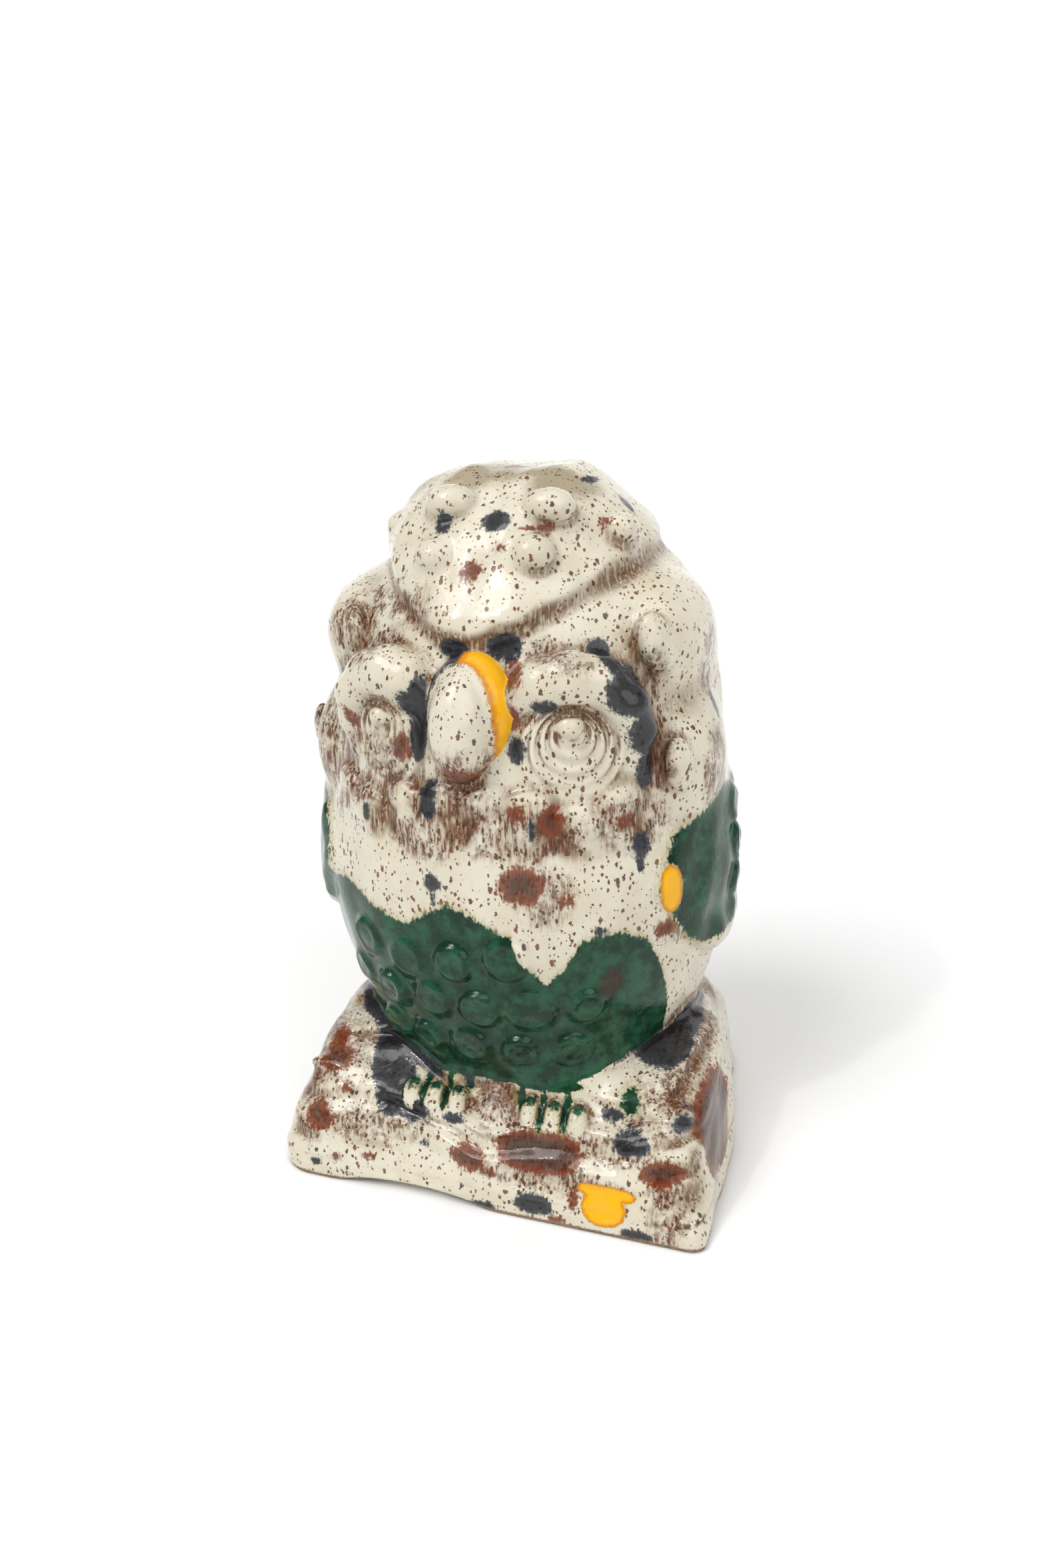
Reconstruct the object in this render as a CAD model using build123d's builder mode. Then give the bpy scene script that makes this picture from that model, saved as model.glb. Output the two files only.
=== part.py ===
"""Glazed earthenware owl perched on a split log, built from separately formed pieces of clay.

The frame: origin on the bottom plane, straight below the owl's upright axis, +Z up, the face
towards -Y and the log lying along X. Left and right are as a person facing the owl sees them.
All sizes are in millimetres.
"""

import os
from math import cos, radians, sin

from build123d import *

os.makedirs("parts", exist_ok=True)

# ---- Driving dimensions -------------------------------------------------------------------
total_height = 178
wall = 8

log_half_length = 56.6  # at the bottom edge
log_half_depth = 50
log_height = 39
log_offset = 2  # the log's middle stands this far right of the owl's axis
log_forward = 4  # and this far in front of it
log_corner = {"front left": 14, "front right": 3, "back left": 26, "back right": 30}  # in plan
log_end_lean = 8  # degrees that each end face leans in
log_wall = 6
end_slab = 8
floor_slab = 6
end_round = 4
vent_radius = 4
vent_y = 18
warp_left, warp_right = -35, 1  # the stretch of the front edge that lifted in firing
warp_rise = 3
warp_depth = 7

# Barrel sections from the perch up: height, half width, half depth, shift back.
barrel_sections = (
    (16, 37.5, 36.5, 0),
    (30, 42.5, 41, 0),
    (45, 48.5, 46, 0),
    (62, 53, 50.5, 0),
    (78, 55, 52, 0),
    (95, 53.5, 50.5, 0),
    (112, 51, 48, 0.5),
    (125, 49.5, 46.5, 1),
    (138, 46.5, 43.5, 2.5),
    (148, 42.5, 39.5, 4),
    (156, 36, 33.5, 4.5),
    (163, 26.5, 25, 4.5),
    (168, 12, 11, 4.5),
)

# Crown outline: radius and height, round an axis a little behind the owl's.
crown_axis_y = 3
crown_outline = ((45.5, 138), (41, 150), (37.5, 155), (35, 160), (33, 165), (29, 171), (21, 176))
crown_flat_radius = 7
# Lower edge of the crown over the face, coming down to a point between the eyes: x and height.
hairline_front = ((-38, 161), (-26, 154), (-12, 143), (0, 140), (14, 144), (27, 152), (38, 158))
hairline_back = 154
curl_radius = 6
crown_curls = {
    "crown_curls_top": ((-8.5, -21, 167.5), (12.5, -20, 167)),
    "crown_curls_front": ((-10, -27, 157), (11, -26, 158)),
    "crown_curls_side": ((-25.5, -12, 163.5), (26, -12, 162.5)),
}

eye_azimuth = 25  # degrees from straight ahead
eye_shift = 3.7  # the disc's middle, further out than the line through the owl's axis
eye_height = 117
eye_radius = 12.3
eye_disc_depth = 8
eye_socket_depth = 2.5
eye_face_reach = 47.2  # from the owl's axis to the eye disc's face, along the eye's axis
eye_ring_radii = (4, 7.3, 10.5)
eye_ring_wire = 0.7
nub_radius = 3
nub_rise = 6.5  # above the middle of the eye
nub_sink = 0.6
nub_shift = 0.5  # towards the beak
brow_inner_radius = 12.8
brow_width = 5.4
brow_lower_width = 4.86
brow_thickness = 3.2

beak_half_length = 14.5
beak_radius = 9
beak_center = (0.5, -46, 124)
beak_tilt = 10

# Outline of the right wing, seen from its own side: forward negative, and height.
wing_edge = ((-26, 84), (-20, 99), (-2, 106), (18, 100), (27, 84), (18, 64), (3, 52), (-16, 60))
wing_thickness = 3.5
scale_thickness = 1.1
wing_scale_radius = 4.6
wing_scales_at = ((-9, 95), (7, 96), (-15, 85), (0, 86), (15, 85), (-8, 74), (7, 75), (0, 64))
belly_scale_thickness = 1.4
# Height, disc radius and directions of each row of round belly feathers.
belly_rows = {
    "upper": (66.5, 6, (-34, -18, -3, 12)),
    "middle": (53, 6, (-42, -27, -12, 3, 18, 33)),
    "lower": (40, 5.6, (-34, -18, -2, 14, 30)),
}

tail_thickness = 4
tail_top, tail_bottom = 66, 20
tail_top_half_width, tail_bottom_half_width = 8, 14
cheek_thickness = 2.2
# Lobes under the eye: azimuth, height, half width, half height.
cheeks = {"inner": (12, 103, 8.5, 7), "outer": (37, 102.5, 10, 6.5)}
ruff_thickness = 2.5
ruff_azimuth, ruff_height = 80, 142
ruff_half_width, ruff_half_height = 21, 11
# Teardrop feathers on the right side: middle, half length, radius, direction of the long axis.
feathers = {
    "upper": ((39.5, -24, 140), 8, 4, (-0.25, 0, 1)),
    "lower": ((44.5, -20.5, 111.5), 7.5, 4, (0.1, 0, 1)),
}

toe_radius = 3
toe_half_length = 6
feet_offset = 3.7  # the feet's middle is this far right of the owl's axis
toe_offsets = {"inner": 9.7, "middle": 15.9, "outer": 22}
toe_y, toe_z = -45.3, 22.7
toe_tilt = 36  # degrees that a toe leans forward of upright, along the log's face

# Relief on the bark: how far along x and how high each piece lies.
knot_at = (-28.3, 21)
knot_radius = 5.5
knot_ring_width = 2.4
knot_sink = 3
knot_rise = 1.2
tongue_at = (3.8, 19.5)
tongue_half_length, tongue_radius = 8, 5
bark_ridges = {  # x, height, half length
    "left": ((-42.5, 25.5, 7), (-40, 12.5, 8)),
    "right": ((43.5, 27, 10), (45, 20, 9), (32.3, 13.5, 12)),
}
ridge_radius = 1.8

reach = 80  # longer than anything inside the owl
over_top = total_height + 2


# ---- Shared construction -------------------------------------------------------------------
def outward_plane(azimuth, height, distance=0):
    """A plane facing away from the owl's axis, with its own y up and its own x to the right."""
    out = Vector(sin(radians(azimuth)), -cos(radians(azimuth)), 0)
    along = (cos(radians(azimuth)), sin(radians(azimuth)), 0)
    return Plane(origin=out * distance + Vector(0, 0, height), x_dir=along, z_dir=out)


def barrel(growth):
    """The owl's solid barrel with every section grown by the same amount."""
    with BuildPart(mode=Mode.PRIVATE) as solid:
        for height, half_width, half_depth, shift in barrel_sections:
            lift = growth if height > total_height / 2 else 0
            with BuildSketch(Plane.XY.offset(height + lift)):
                with Locations((0, shift)):
                    Ellipse(half_width + growth, half_depth + growth)
        loft()
    return solid.part


def log_solid(inset, bottom):
    """The half-round log, its ends leaning in, shrunk by inset and cut off level at bottom."""
    front, back = -log_forward - log_half_depth + inset, -log_forward + log_half_depth - inset
    with BuildPart(mode=Mode.PRIVATE) as solid:
        with BuildSketch(Plane.YZ.offset(log_offset)):
            with BuildLine():
                EllipticalCenterArc(
                    (-log_forward, 0), log_half_depth - inset, log_height - inset, arc_size=180
                )
                Line((front, 0), (back, 0))
            make_face()
        extrude(amount=log_half_length, both=True)
        # In plan the corners are rounded, the back ones widely.
        with BuildSketch():
            with Locations((log_offset, -log_forward)):
                Rectangle(2 * (log_half_length - inset), 2 * (log_half_depth - inset))
            corners = vertices().sort_by(Axis.Y)
            for pair, row in (("front", corners[:2]), ("back", corners[2:])):
                for side, corner in zip(("left", "right"), row.sort_by(Axis.X)):
                    fillet(corner, radius=log_corner[f"{pair} {side}"])
        extrude(amount=log_height, mode=Mode.INTERSECT)
        for side in (-1, 1):
            split(bisect_by=end_plane(side, 0), keep=Keep.BOTTOM)
        if bottom > 0:
            split(bisect_by=Plane.XY.offset(bottom), keep=Keep.TOP)
    return solid.part


def end_plane(side, depth):
    """The leaning plane of one end of the log, moved in by depth, facing out."""
    lean = radians(log_end_lean)
    return Plane(
        origin=(log_offset + side * (log_half_length - depth), 0, 0),
        x_dir=(0, 1, 0),
        z_dir=(side * cos(lean), 0, sin(lean)),
    )


def spheroid(center, half_length, radius, direction):
    """A solid egg: round about the given direction, half_length from middle to tip."""
    with BuildPart(mode=Mode.PRIVATE) as egg:
        Sphere(radius)
        scale(by=(half_length / radius, 1, 1))
    place = Plane(origin=center, x_dir=direction, z_dir=side_of(direction))
    return egg.part.moved(place.location)


def side_of(direction):
    """Any direction at right angles to the given one."""
    helper = Vector(1, 0, 0) if abs(direction[0]) < 0.8 else Vector(0, 0, 1)
    return Vector(*direction).cross(helper).normalized()


def trim(*neighbours):
    """Cut the neighbours out of the piece being built, so that it meets them face to face."""
    for neighbour in neighbours:
        add(neighbour, mode=Mode.SUBTRACT)


def relief(skin, ground):
    """Turn the sketch just drawn into a raised patch between the ground and a skin over it."""
    extrude(amount=reach)
    add(skin, mode=Mode.INTERSECT)
    trim(ground)


# ---- Log -----------------------------------------------------------------------------------
log_outside = log_solid(0, 0)

with BuildPart() as log_floor:
    add(log_outside)
    split(bisect_by=Plane.XY.offset(floor_slab), keep=Keep.BOTTOM)
    with Locations((log_offset, vent_y, floor_slab)):
        Hole(radius=vent_radius)
    # The front edge lifts a little where the clay warped in firing.
    with BuildSketch(Plane.XZ.offset(log_forward + log_half_depth - warp_depth)):
        with BuildLine():
            warp_middle = (warp_left + warp_right) / 2
            ThreePointArc((warp_left, 0), (warp_middle, warp_rise), (warp_right, 0))
            Line((warp_right, 0), (warp_left, 0))
        make_face()
    extrude(amount=reach, mode=Mode.SUBTRACT)
log_floor.part.label = "log_floor"
export_step(log_floor.part, "parts/log_floor.step")

for name, side in (("left", -1), ("right", 1)):
    with BuildPart() as log_end:
        add(log_outside)
        split(bisect_by=Plane.XY.offset(floor_slab), keep=Keep.TOP)
        split(bisect_by=end_plane(side, end_slab), keep=Keep.TOP)
        rim = log_end.faces().sort_by(Axis.X)[0 if side < 0 else -1].edges()
        fillet(rim.filter_by(GeomType.LINE, reverse=True), radius=end_round)
    log_end.part.label = f"log_end_{name}"
    export_step(log_end.part, f"parts/log_end_{name}.step")

log_inside = log_solid(log_wall, 0)
with BuildPart() as log_bark:
    add(log_outside)
    split(bisect_by=Plane.XY.offset(floor_slab), keep=Keep.TOP)
    for side in (-1, 1):
        split(bisect_by=end_plane(side, end_slab), keep=Keep.BOTTOM)
    trim(log_inside)
    with Locations((log_offset, vent_y, log_height)):
        Hole(radius=vent_radius)
log_bark.part.label = "log_bark"
export_step(log_bark.part, "parts/log_bark.step")

# ---- Body ----------------------------------------------------------------------------------
barrel_outside = barrel(0)
barrel_cavity = barrel(-wall)

with BuildPart() as eye_sockets:
    for side in (-1, 1):
        plane = outward_plane(side * eye_azimuth, eye_height, eye_face_reach - eye_socket_depth)
        with BuildSketch(plane):
            with Locations((side * eye_shift, 0)):
                Circle(eye_radius)
        extrude(amount=reach)

with BuildPart() as body_form:
    add(barrel_outside)
    trim(eye_sockets.part)

with BuildPart() as body_shell:
    add(body_form.part)
    trim(barrel_cavity, log_outside)
body_shell.part.label = "body_shell"
export_step(body_shell.part, "parts/body_shell.step")

# ---- Crown ---------------------------------------------------------------------------------
with BuildPart() as crown_form:
    with BuildSketch(Plane.YZ):
        with BuildLine():
            dome = Spline(
                *[(crown_axis_y + radius, height) for radius, height in crown_outline],
                (crown_axis_y + crown_flat_radius, total_height),
                tangents=[(-0.2, 1), (-1, 0.1)],
            )
            Polyline(dome @ 1, (crown_axis_y, total_height), (crown_axis_y, 138), dome @ 0)
        make_face()
    revolve(axis=Axis((0, crown_axis_y, 0), (0, 0, 1)))

with BuildPart() as head_cap:
    # The lower edge follows the hairline in front and runs level round the back.
    with BuildSketch(Plane.XZ):
        with BuildLine():
            hairline = Spline(*hairline_front)
            left_end, right_end = hairline @ 0, hairline @ 1
            Polyline(right_end, (right_end.X, over_top), (left_end.X, over_top), left_end)
        make_face()
    extrude(amount=reach)
    with Locations((0, reach / 2, (hairline_back + over_top) / 2)):
        Box(2 * reach, reach, over_top - hairline_back)
    add(crown_form.part, mode=Mode.INTERSECT)
    trim(barrel_outside)
head_cap.part.label = "head_cap"
export_step(head_cap.part, "parts/head_cap.step")

for name, centers in crown_curls.items():
    with BuildPart() as curls:
        with Locations(centers):
            Sphere(curl_radius)
        trim(crown_form.part, barrel_outside)
    curls.part.label = name
    export_step(curls.part, f"parts/{name}.step")

# ---- Face ----------------------------------------------------------------------------------
tilt = radians(beak_tilt)
beak_form = spheroid(beak_center, beak_half_length, beak_radius, (0, sin(tilt), cos(tilt)))
with BuildPart() as beak:
    add(beak_form)
    trim(barrel_outside, crown_form.part)
beak.part.label = "beak"
export_step(beak.part, "parts/beak.step")

ruff_skin = barrel(ruff_thickness)
cheek_skin = barrel(cheek_thickness)
brow_skin = barrel(brow_thickness)
for name, side in (("left", -1), ("right", 1)):
    face = outward_plane(side * eye_azimuth, eye_height, eye_face_reach)
    disc_middle = (side * eye_shift, 0)

    with BuildPart() as eye_disc:
        with BuildSketch(face):
            with Locations(disc_middle):
                Circle(eye_radius)
        extrude(amount=-eye_disc_depth)
        for ring_radius in eye_ring_radii:
            with Locations(face * Location((side * eye_shift, 0, 0))):
                Torus(ring_radius, eye_ring_wire)
        trim(body_form.part)
    eye_disc.part.label = f"eye_disc_{name}"
    export_step(eye_disc.part, f"parts/eye_disc_{name}.step")

    with BuildPart() as eye_nub:
        with Locations(face * Location((side * (eye_shift - nub_shift), nub_rise, -nub_sink))):
            Sphere(nub_radius)
        trim(eye_disc.part, body_form.part)
    eye_nub.part.label = f"eye_nub_{name}"
    export_step(eye_nub.part, f"parts/eye_nub_{name}.step")

    # A thick crescent over the eye, highest above its middle.
    with BuildPart() as brow:
        with BuildSketch(face):
            with Locations(disc_middle):
                Circle(brow_inner_radius + brow_width)
            with Locations((side * eye_shift, -brow_width)):
                Circle(brow_inner_radius + brow_lower_width, mode=Mode.SUBTRACT)
            with Locations(disc_middle):
                Circle(brow_inner_radius, mode=Mode.SUBTRACT)
        extrude(amount=eye_disc_depth, both=True)
        add(brow_skin, mode=Mode.INTERSECT)
        trim(body_form.part, beak_form)
    brow.part.label = f"brow_{name}"
    export_step(brow.part, f"parts/brow_{name}.step")

    # Side lobes of the head, from the hairline down behind the brow.
    with BuildPart() as ruff_form:
        with BuildSketch(outward_plane(side * ruff_azimuth, ruff_height)):
            Ellipse(ruff_half_width, ruff_half_height)
        extrude(amount=reach)
        add(ruff_skin, mode=Mode.INTERSECT)
    with BuildPart() as ruff:
        add(ruff_form.part)
        trim(barrel_outside, crown_form.part)
    ruff.part.label = f"ruff_{name}"
    export_step(ruff.part, f"parts/ruff_{name}.step")

    # Teardrop feathers pressed on to the side of the head.
    for place, ((x, y, z), half_length, radius, (across, back, up)) in feathers.items():
        feather_form = spheroid((side * x, y, z), half_length, radius, (side * across, back, up))
        with BuildPart() as feather:
            add(feather_form)
            trim(barrel_outside, ruff_form.part)
        feather.part.label = f"ruff_feather_{place}_{name}"
        export_step(feather.part, f"parts/ruff_feather_{place}_{name}.step")

    # Rounded feather lobes under the eye.
    for place, (azimuth, height, half_width, half_height) in cheeks.items():
        with BuildPart() as cheek:
            with BuildSketch(outward_plane(side * azimuth, height)):
                Ellipse(half_width, half_height)
            relief(cheek_skin, body_form.part)
            trim(eye_disc.part, beak_form)
        cheek.part.label = f"cheek_{place}_{name}"
        export_step(cheek.part, f"parts/cheek_{place}_{name}.step")

# ---- Wings ---------------------------------------------------------------------------------
wing_skin = barrel(wing_thickness)
scale_skin = barrel(wing_thickness + scale_thickness)
for name, side in (("left", -1), ("right", 1)):
    flank = outward_plane(side * 90, 0)
    with BuildPart() as wing:
        with BuildSketch(flank):
            with BuildLine():
                Spline(*[(side * across, height) for across, height in wing_edge], periodic=True)
            make_face()
        relief(wing_skin, barrel_outside)
    wing.part.label = f"wing_{name}"
    export_step(wing.part, f"parts/wing_{name}.step")

    with BuildPart() as wing_scales:
        with BuildSketch(flank):
            with Locations([(side * across, height) for across, height in wing_scales_at]):
                Circle(wing_scale_radius)
        relief(scale_skin, wing_skin)
    wing_scales.part.label = f"wing_scales_{name}"
    export_step(wing_scales.part, f"parts/wing_scales_{name}.step")

# ---- Belly ---------------------------------------------------------------------------------
belly_skin = barrel(belly_scale_thickness)
for place, (height, scale_radius, azimuths) in belly_rows.items():
    discs = []
    for azimuth in azimuths:
        with BuildPart() as disc:
            with BuildSketch(outward_plane(azimuth, height)):
                Circle(scale_radius)
            relief(belly_skin, barrel_outside)
        discs.append(disc.part)
    with BuildPart() as belly_scales:
        add(discs)
    belly_scales.part.label = f"belly_scales_{place}"
    export_step(belly_scales.part, f"parts/belly_scales_{place}.step")

# ---- Tail, lying down the back on to the log -------------------------------------------------
tail_skin = barrel(tail_thickness)
with BuildPart() as tail:
    with BuildSketch(outward_plane(180, 0)):
        with BuildLine():
            Polyline(
                (-tail_top_half_width, tail_top),
                (tail_top_half_width, tail_top),
                (tail_bottom_half_width, tail_bottom),
                (-tail_bottom_half_width, tail_bottom),
                close=True,
            )
        make_face()
    relief(tail_skin, barrel_outside)
    trim(log_outside)
tail.part.label = "tail"
export_step(tail.part, "parts/tail.step")

# ---- Toes ----------------------------------------------------------------------------------
lean = radians(toe_tilt)
for name, side in (("left", -1), ("right", 1)):
    for place, offset in toe_offsets.items():
        toe_middle = (feet_offset + side * offset, toe_y, toe_z)
        toe_form = spheroid(toe_middle, toe_half_length, toe_radius, (0, sin(lean), cos(lean)))
        with BuildPart() as toe:
            add(toe_form)
            trim(log_outside, barrel_outside)
        toe.part.label = f"toe_{name}_{place}"
        export_step(toe.part, f"parts/toe_{name}_{place}.step")

# ---- Bark relief on the log ------------------------------------------------------------------
def on_log(x, height):
    """A point on the log's front face at the given height."""
    depth = log_half_depth * (1 - (height / log_height) ** 2) ** 0.5
    return (x, -log_forward - depth, height)


knot_face = Plane(origin=on_log(*knot_at), x_dir=(1, 0, 0), z_dir=(0, -cos(lean), sin(lean)))
with BuildPart() as log_knot:
    with BuildSketch(knot_face.offset(-knot_sink)):
        Circle(knot_radius)
        Circle(knot_radius - knot_ring_width, mode=Mode.SUBTRACT)
    extrude(amount=knot_sink + knot_rise)
    trim(log_outside)
log_knot.part.label = "log_knot"
export_step(log_knot.part, "parts/log_knot.step")

tongue_form = spheroid(
    on_log(*tongue_at), tongue_half_length, tongue_radius, (0, sin(lean), cos(lean))
)
with BuildPart() as bark_tongue:
    add(tongue_form)
    trim(log_outside, barrel_outside)
bark_tongue.part.label = "bark_tongue"
export_step(bark_tongue.part, "parts/bark_tongue.step")

for name, rows in bark_ridges.items():
    ridge_forms = [
        spheroid(on_log(middle, height), half_length, ridge_radius, (1, 0, 0))
        for middle, height, half_length in rows
    ]
    with BuildPart() as ridges:
        add(ridge_forms)
        trim(log_outside)
    ridges.part.label = f"bark_ridges_{name}"
    export_step(ridges.part, f"parts/bark_ridges_{name}.step")
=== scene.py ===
"""The glazed owl on its log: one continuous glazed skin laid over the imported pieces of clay.

Lengths are millimetres in the row frame until a mesh is made. Each form is a signed distance,
negative inside, and neighbouring forms melt into each other as thick glaze does. Each CAD piece
gets its own closed mesh: the part of the skin that it owns, tucked under its neighbours' edges.
An azimuth is in degrees round the owl's axis, 0 straight ahead and positive to the right.
"""

from math import cos, radians, sin
from types import SimpleNamespace

import bpy
import numpy as np
from mathutils import Matrix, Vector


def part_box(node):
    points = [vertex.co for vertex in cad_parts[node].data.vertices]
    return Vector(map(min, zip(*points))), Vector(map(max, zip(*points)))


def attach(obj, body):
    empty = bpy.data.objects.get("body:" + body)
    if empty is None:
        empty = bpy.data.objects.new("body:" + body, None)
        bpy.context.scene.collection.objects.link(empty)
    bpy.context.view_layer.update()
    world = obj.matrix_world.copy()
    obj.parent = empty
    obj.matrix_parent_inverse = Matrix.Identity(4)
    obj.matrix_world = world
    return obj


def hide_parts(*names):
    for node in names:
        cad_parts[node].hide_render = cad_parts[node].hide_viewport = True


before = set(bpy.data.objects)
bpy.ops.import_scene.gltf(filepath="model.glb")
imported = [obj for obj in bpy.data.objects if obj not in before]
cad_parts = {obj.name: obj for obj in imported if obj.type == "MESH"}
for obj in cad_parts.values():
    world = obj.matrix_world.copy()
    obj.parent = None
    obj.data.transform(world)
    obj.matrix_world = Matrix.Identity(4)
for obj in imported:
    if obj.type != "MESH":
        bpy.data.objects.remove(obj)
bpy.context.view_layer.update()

MM = 0.001
FAR = 60.0
COARSEN = 1.0


# ---- What the frame gives
def corners(node):
    low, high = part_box(node)
    return np.array(low) / MM, np.array(high) / MM


def middle(node):
    low, high = corners(node)
    return (low + high) / 2


def half_size(node):
    low, high = corners(node)
    return (high - low) / 2


def islands(node):
    """The lowest and highest corner of each separate solid in a CAD node."""
    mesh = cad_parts[node].data
    points = np.array([v.co for v in mesh.vertices]) / MM
    _, weld = np.unique(np.round(points, 2), axis=0, return_inverse=True)
    weld = weld.ravel()
    ends = weld[np.array([e.vertices[:] for e in mesh.edges])]
    label = np.arange(weld.max() + 1)
    while True:
        low = np.minimum(label[ends[:, 0]], label[ends[:, 1]])
        spread = label.copy()
        np.minimum.at(spread, ends[:, 0], low)
        np.minimum.at(spread, ends[:, 1], low)
        spread = spread[spread]
        if (spread == label).all():
            break
        label = spread
    owner = label[weld]
    solids = [points[owner == name] for name in np.unique(owner)]
    return [(solid.min(0), solid.max(0)) for solid in solids]


# ---- Distances
def smooth_min(a, b, blend):
    gap = np.maximum(blend - np.abs(a - b), 0) / blend
    return np.minimum(a, b) - gap * gap * blend / 4


def smooth_max(a, b, blend):
    return -smooth_min(-a, -b, blend)


def smooth_step(t):
    t = np.clip(t, 0, 1)
    return t * t * (3 - 2 * t)


def ripple(x, y, z, length, seed, waves=5):
    """A soft lumpy field between about -1 and 1, its lumps about half of length across."""
    random = np.random.default_rng(seed)
    total = 0
    for _ in range(waves):
        way = random.normal(size=3)
        way *= 2 * np.pi / (length * random.uniform(0.75, 1.35) * np.linalg.norm(way))
        total = total + np.sin(x * way[0] + y * way[1] + z * way[2] + random.uniform(0, 6.28))
    return total / waves**0.5 / 1.2


def polygon_distance(u, v, edge):
    """Signed distance in a plane to a closed outline."""
    nearest = np.full(u.shape, FAR * FAR)
    inside = np.zeros(u.shape, bool)
    for (u0, v0), (u1, v1) in zip(edge, edge[1:] + edge[:1]):
        du, dv = u1 - u0, v1 - v0
        t = np.clip(((u - u0) * du + (v - v0) * dv) / (du * du + dv * dv), 0, 1)
        nearest = np.minimum(nearest, (u - u0 - du * t) ** 2 + (v - v0 - dv * t) ** 2)
        if dv:
            inside ^= ((v0 > v) != (v1 > v)) & (u < u0 + du * (v - v0) / dv)
    return np.where(inside, -1, 1) * np.sqrt(nearest)


# Barrel sections: height, half width, half depth, shift back.
BARREL = np.array((
    (14, 36.5, 35.5, 0), (30, 42.5, 41, 0), (45, 48.5, 46, 0), (62, 53, 50.5, 0),
    (78, 55, 52, 0), (95, 53.5, 50.5, 0), (112, 51, 48, 0.5), (125, 49.5, 46.5, 1),
    (138, 46.5, 43.5, 2.5), (148, 42.5, 39.5, 4), (156, 36, 33.5, 4.5), (163, 26.5, 25, 4.5),
    (168, 12, 11, 4.5),
))


def fair_curve(heights, knots, values):
    """A smooth curve through the values."""
    slopes = np.gradient(values, knots)
    i = np.clip(np.searchsorted(knots, heights) - 1, 0, len(knots) - 2)
    span = knots[i + 1] - knots[i]
    t = (heights - knots[i]) / span
    rise = (1 + 2 * t) * (1 - t) ** 2 * values[i] + t * t * (3 - 2 * t) * values[i + 1]
    return rise + span * (t * (1 - t) ** 2 * slopes[i] - t * t * (1 - t) * slopes[i + 1])


BARREL_HEIGHTS = np.linspace(BARREL[0, 0], BARREL[-1, 0], 400)
BARREL_CURVES = [fair_curve(BARREL_HEIGHTS, BARREL[:, 0], BARREL[:, i]) for i in (1, 2, 3)]
BARREL_SLOPE = np.gradient(BARREL_CURVES[0], BARREL_HEIGHTS)


def barrel_distance(x, y, z):
    width, depth, back = (np.interp(z, BARREL_HEIGHTS, curve) for curve in BARREL_CURVES)
    slope = np.interp(z, BARREL_HEIGHTS, BARREL_SLOPE)
    share = np.maximum(np.hypot(x / width, (y - back) / depth), 1e-4)
    out = np.hypot(x, y - back) * (1 - 1 / share) / np.sqrt(1 + slope * slope)
    top, bottom = BARREL[-1, 0] - 1, BARREL[0, 0]
    return smooth_max(smooth_max(out, z - top, 4), bottom - z, 2)


def barrel_reach(azimuth, height):
    """How far from the axis the barrel's surface is in one direction."""
    width, depth, back = (np.interp(height, BARREL_HEIGHTS, curve) for curve in BARREL_CURVES)
    a = radians(azimuth)
    return 1 / np.hypot(sin(a) / width, cos(a) / depth) - back * cos(a)


# The log, from its CAD pieces.
floor_low, floor_high = corners("log_floor")
bark_high = corners("log_bark")[1]
LOG_X = (floor_low[0] + floor_high[0]) / 2
LOG_Y = (floor_low[1] + floor_high[1]) / 2
LOG_HALF_LENGTH = (floor_high[0] - floor_low[0]) / 2
LOG_HALF_DEPTH = (floor_high[1] - floor_low[1]) / 2
LOG_HEIGHT = bark_high[2]
FLOOR_TOP = floor_high[2]
LOG_LEAN = radians(8)
END_DEPTH = 8
LOG_ROUND = 2.15  # exponent of the half-round section
LOG_CORNERS = {(-1, -1): 9, (1, -1): 3.5, (-1, 1): 26, (1, 1): 30}
END_TURN, END_TURN_FROM = 0.17, -8  # the right end face turns in behind this depth
FOOT_HEIGHT, FOOT_FLARE = 12, 1.4  # the log spreads a little at its foot
RELIEF_FROM, RELIEF_GROWS = 1.5, 6  # the bark's relief fades out at the foot
VENT_RADIUS, VENT_Y, VENT_DEPTH = 4, 18, 5
ARCH_X, ARCH_HALF_WIDTH, ARCH_HEIGHT, ARCH_DEPTH = -16, 19, 3.8, 9


def end_distance(x, z, side, depth):
    reach = LOG_HALF_LENGTH - depth
    return (side * (x - LOG_X) - reach) * cos(LOG_LEAN) + z * sin(LOG_LEAN)


def bark_relief(x, y, z):
    """Soft ridges along the log, wandering, and shallow lumps between them."""
    wander = 3.2 * np.sin(x / 15 + 0.6) + 1.5 * np.sin(x / 6.3 + 2) + 2 * ripple(x, y, z, 34, 5)
    ridges = np.sin(2 * np.pi * (z + wander) / 8.5)
    grain = np.sin(2 * np.pi * (z + 1.3 * wander) / 4.4 + 1.2 * ripple(x, y, z, 16, 9))
    strength = (0.55 + 0.45 * ripple(x, y, z, 40, 8)) * (0.3 + 0.7 * smooth_step((z - 9) / 9))
    lumps = 0.55 * ripple(x, y, z, 19, 11) + 0.3 * ripple(x, y, z, 8, 12)
    return (1.05 * ridges + 0.4 * grain) * strength + lumps


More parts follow.
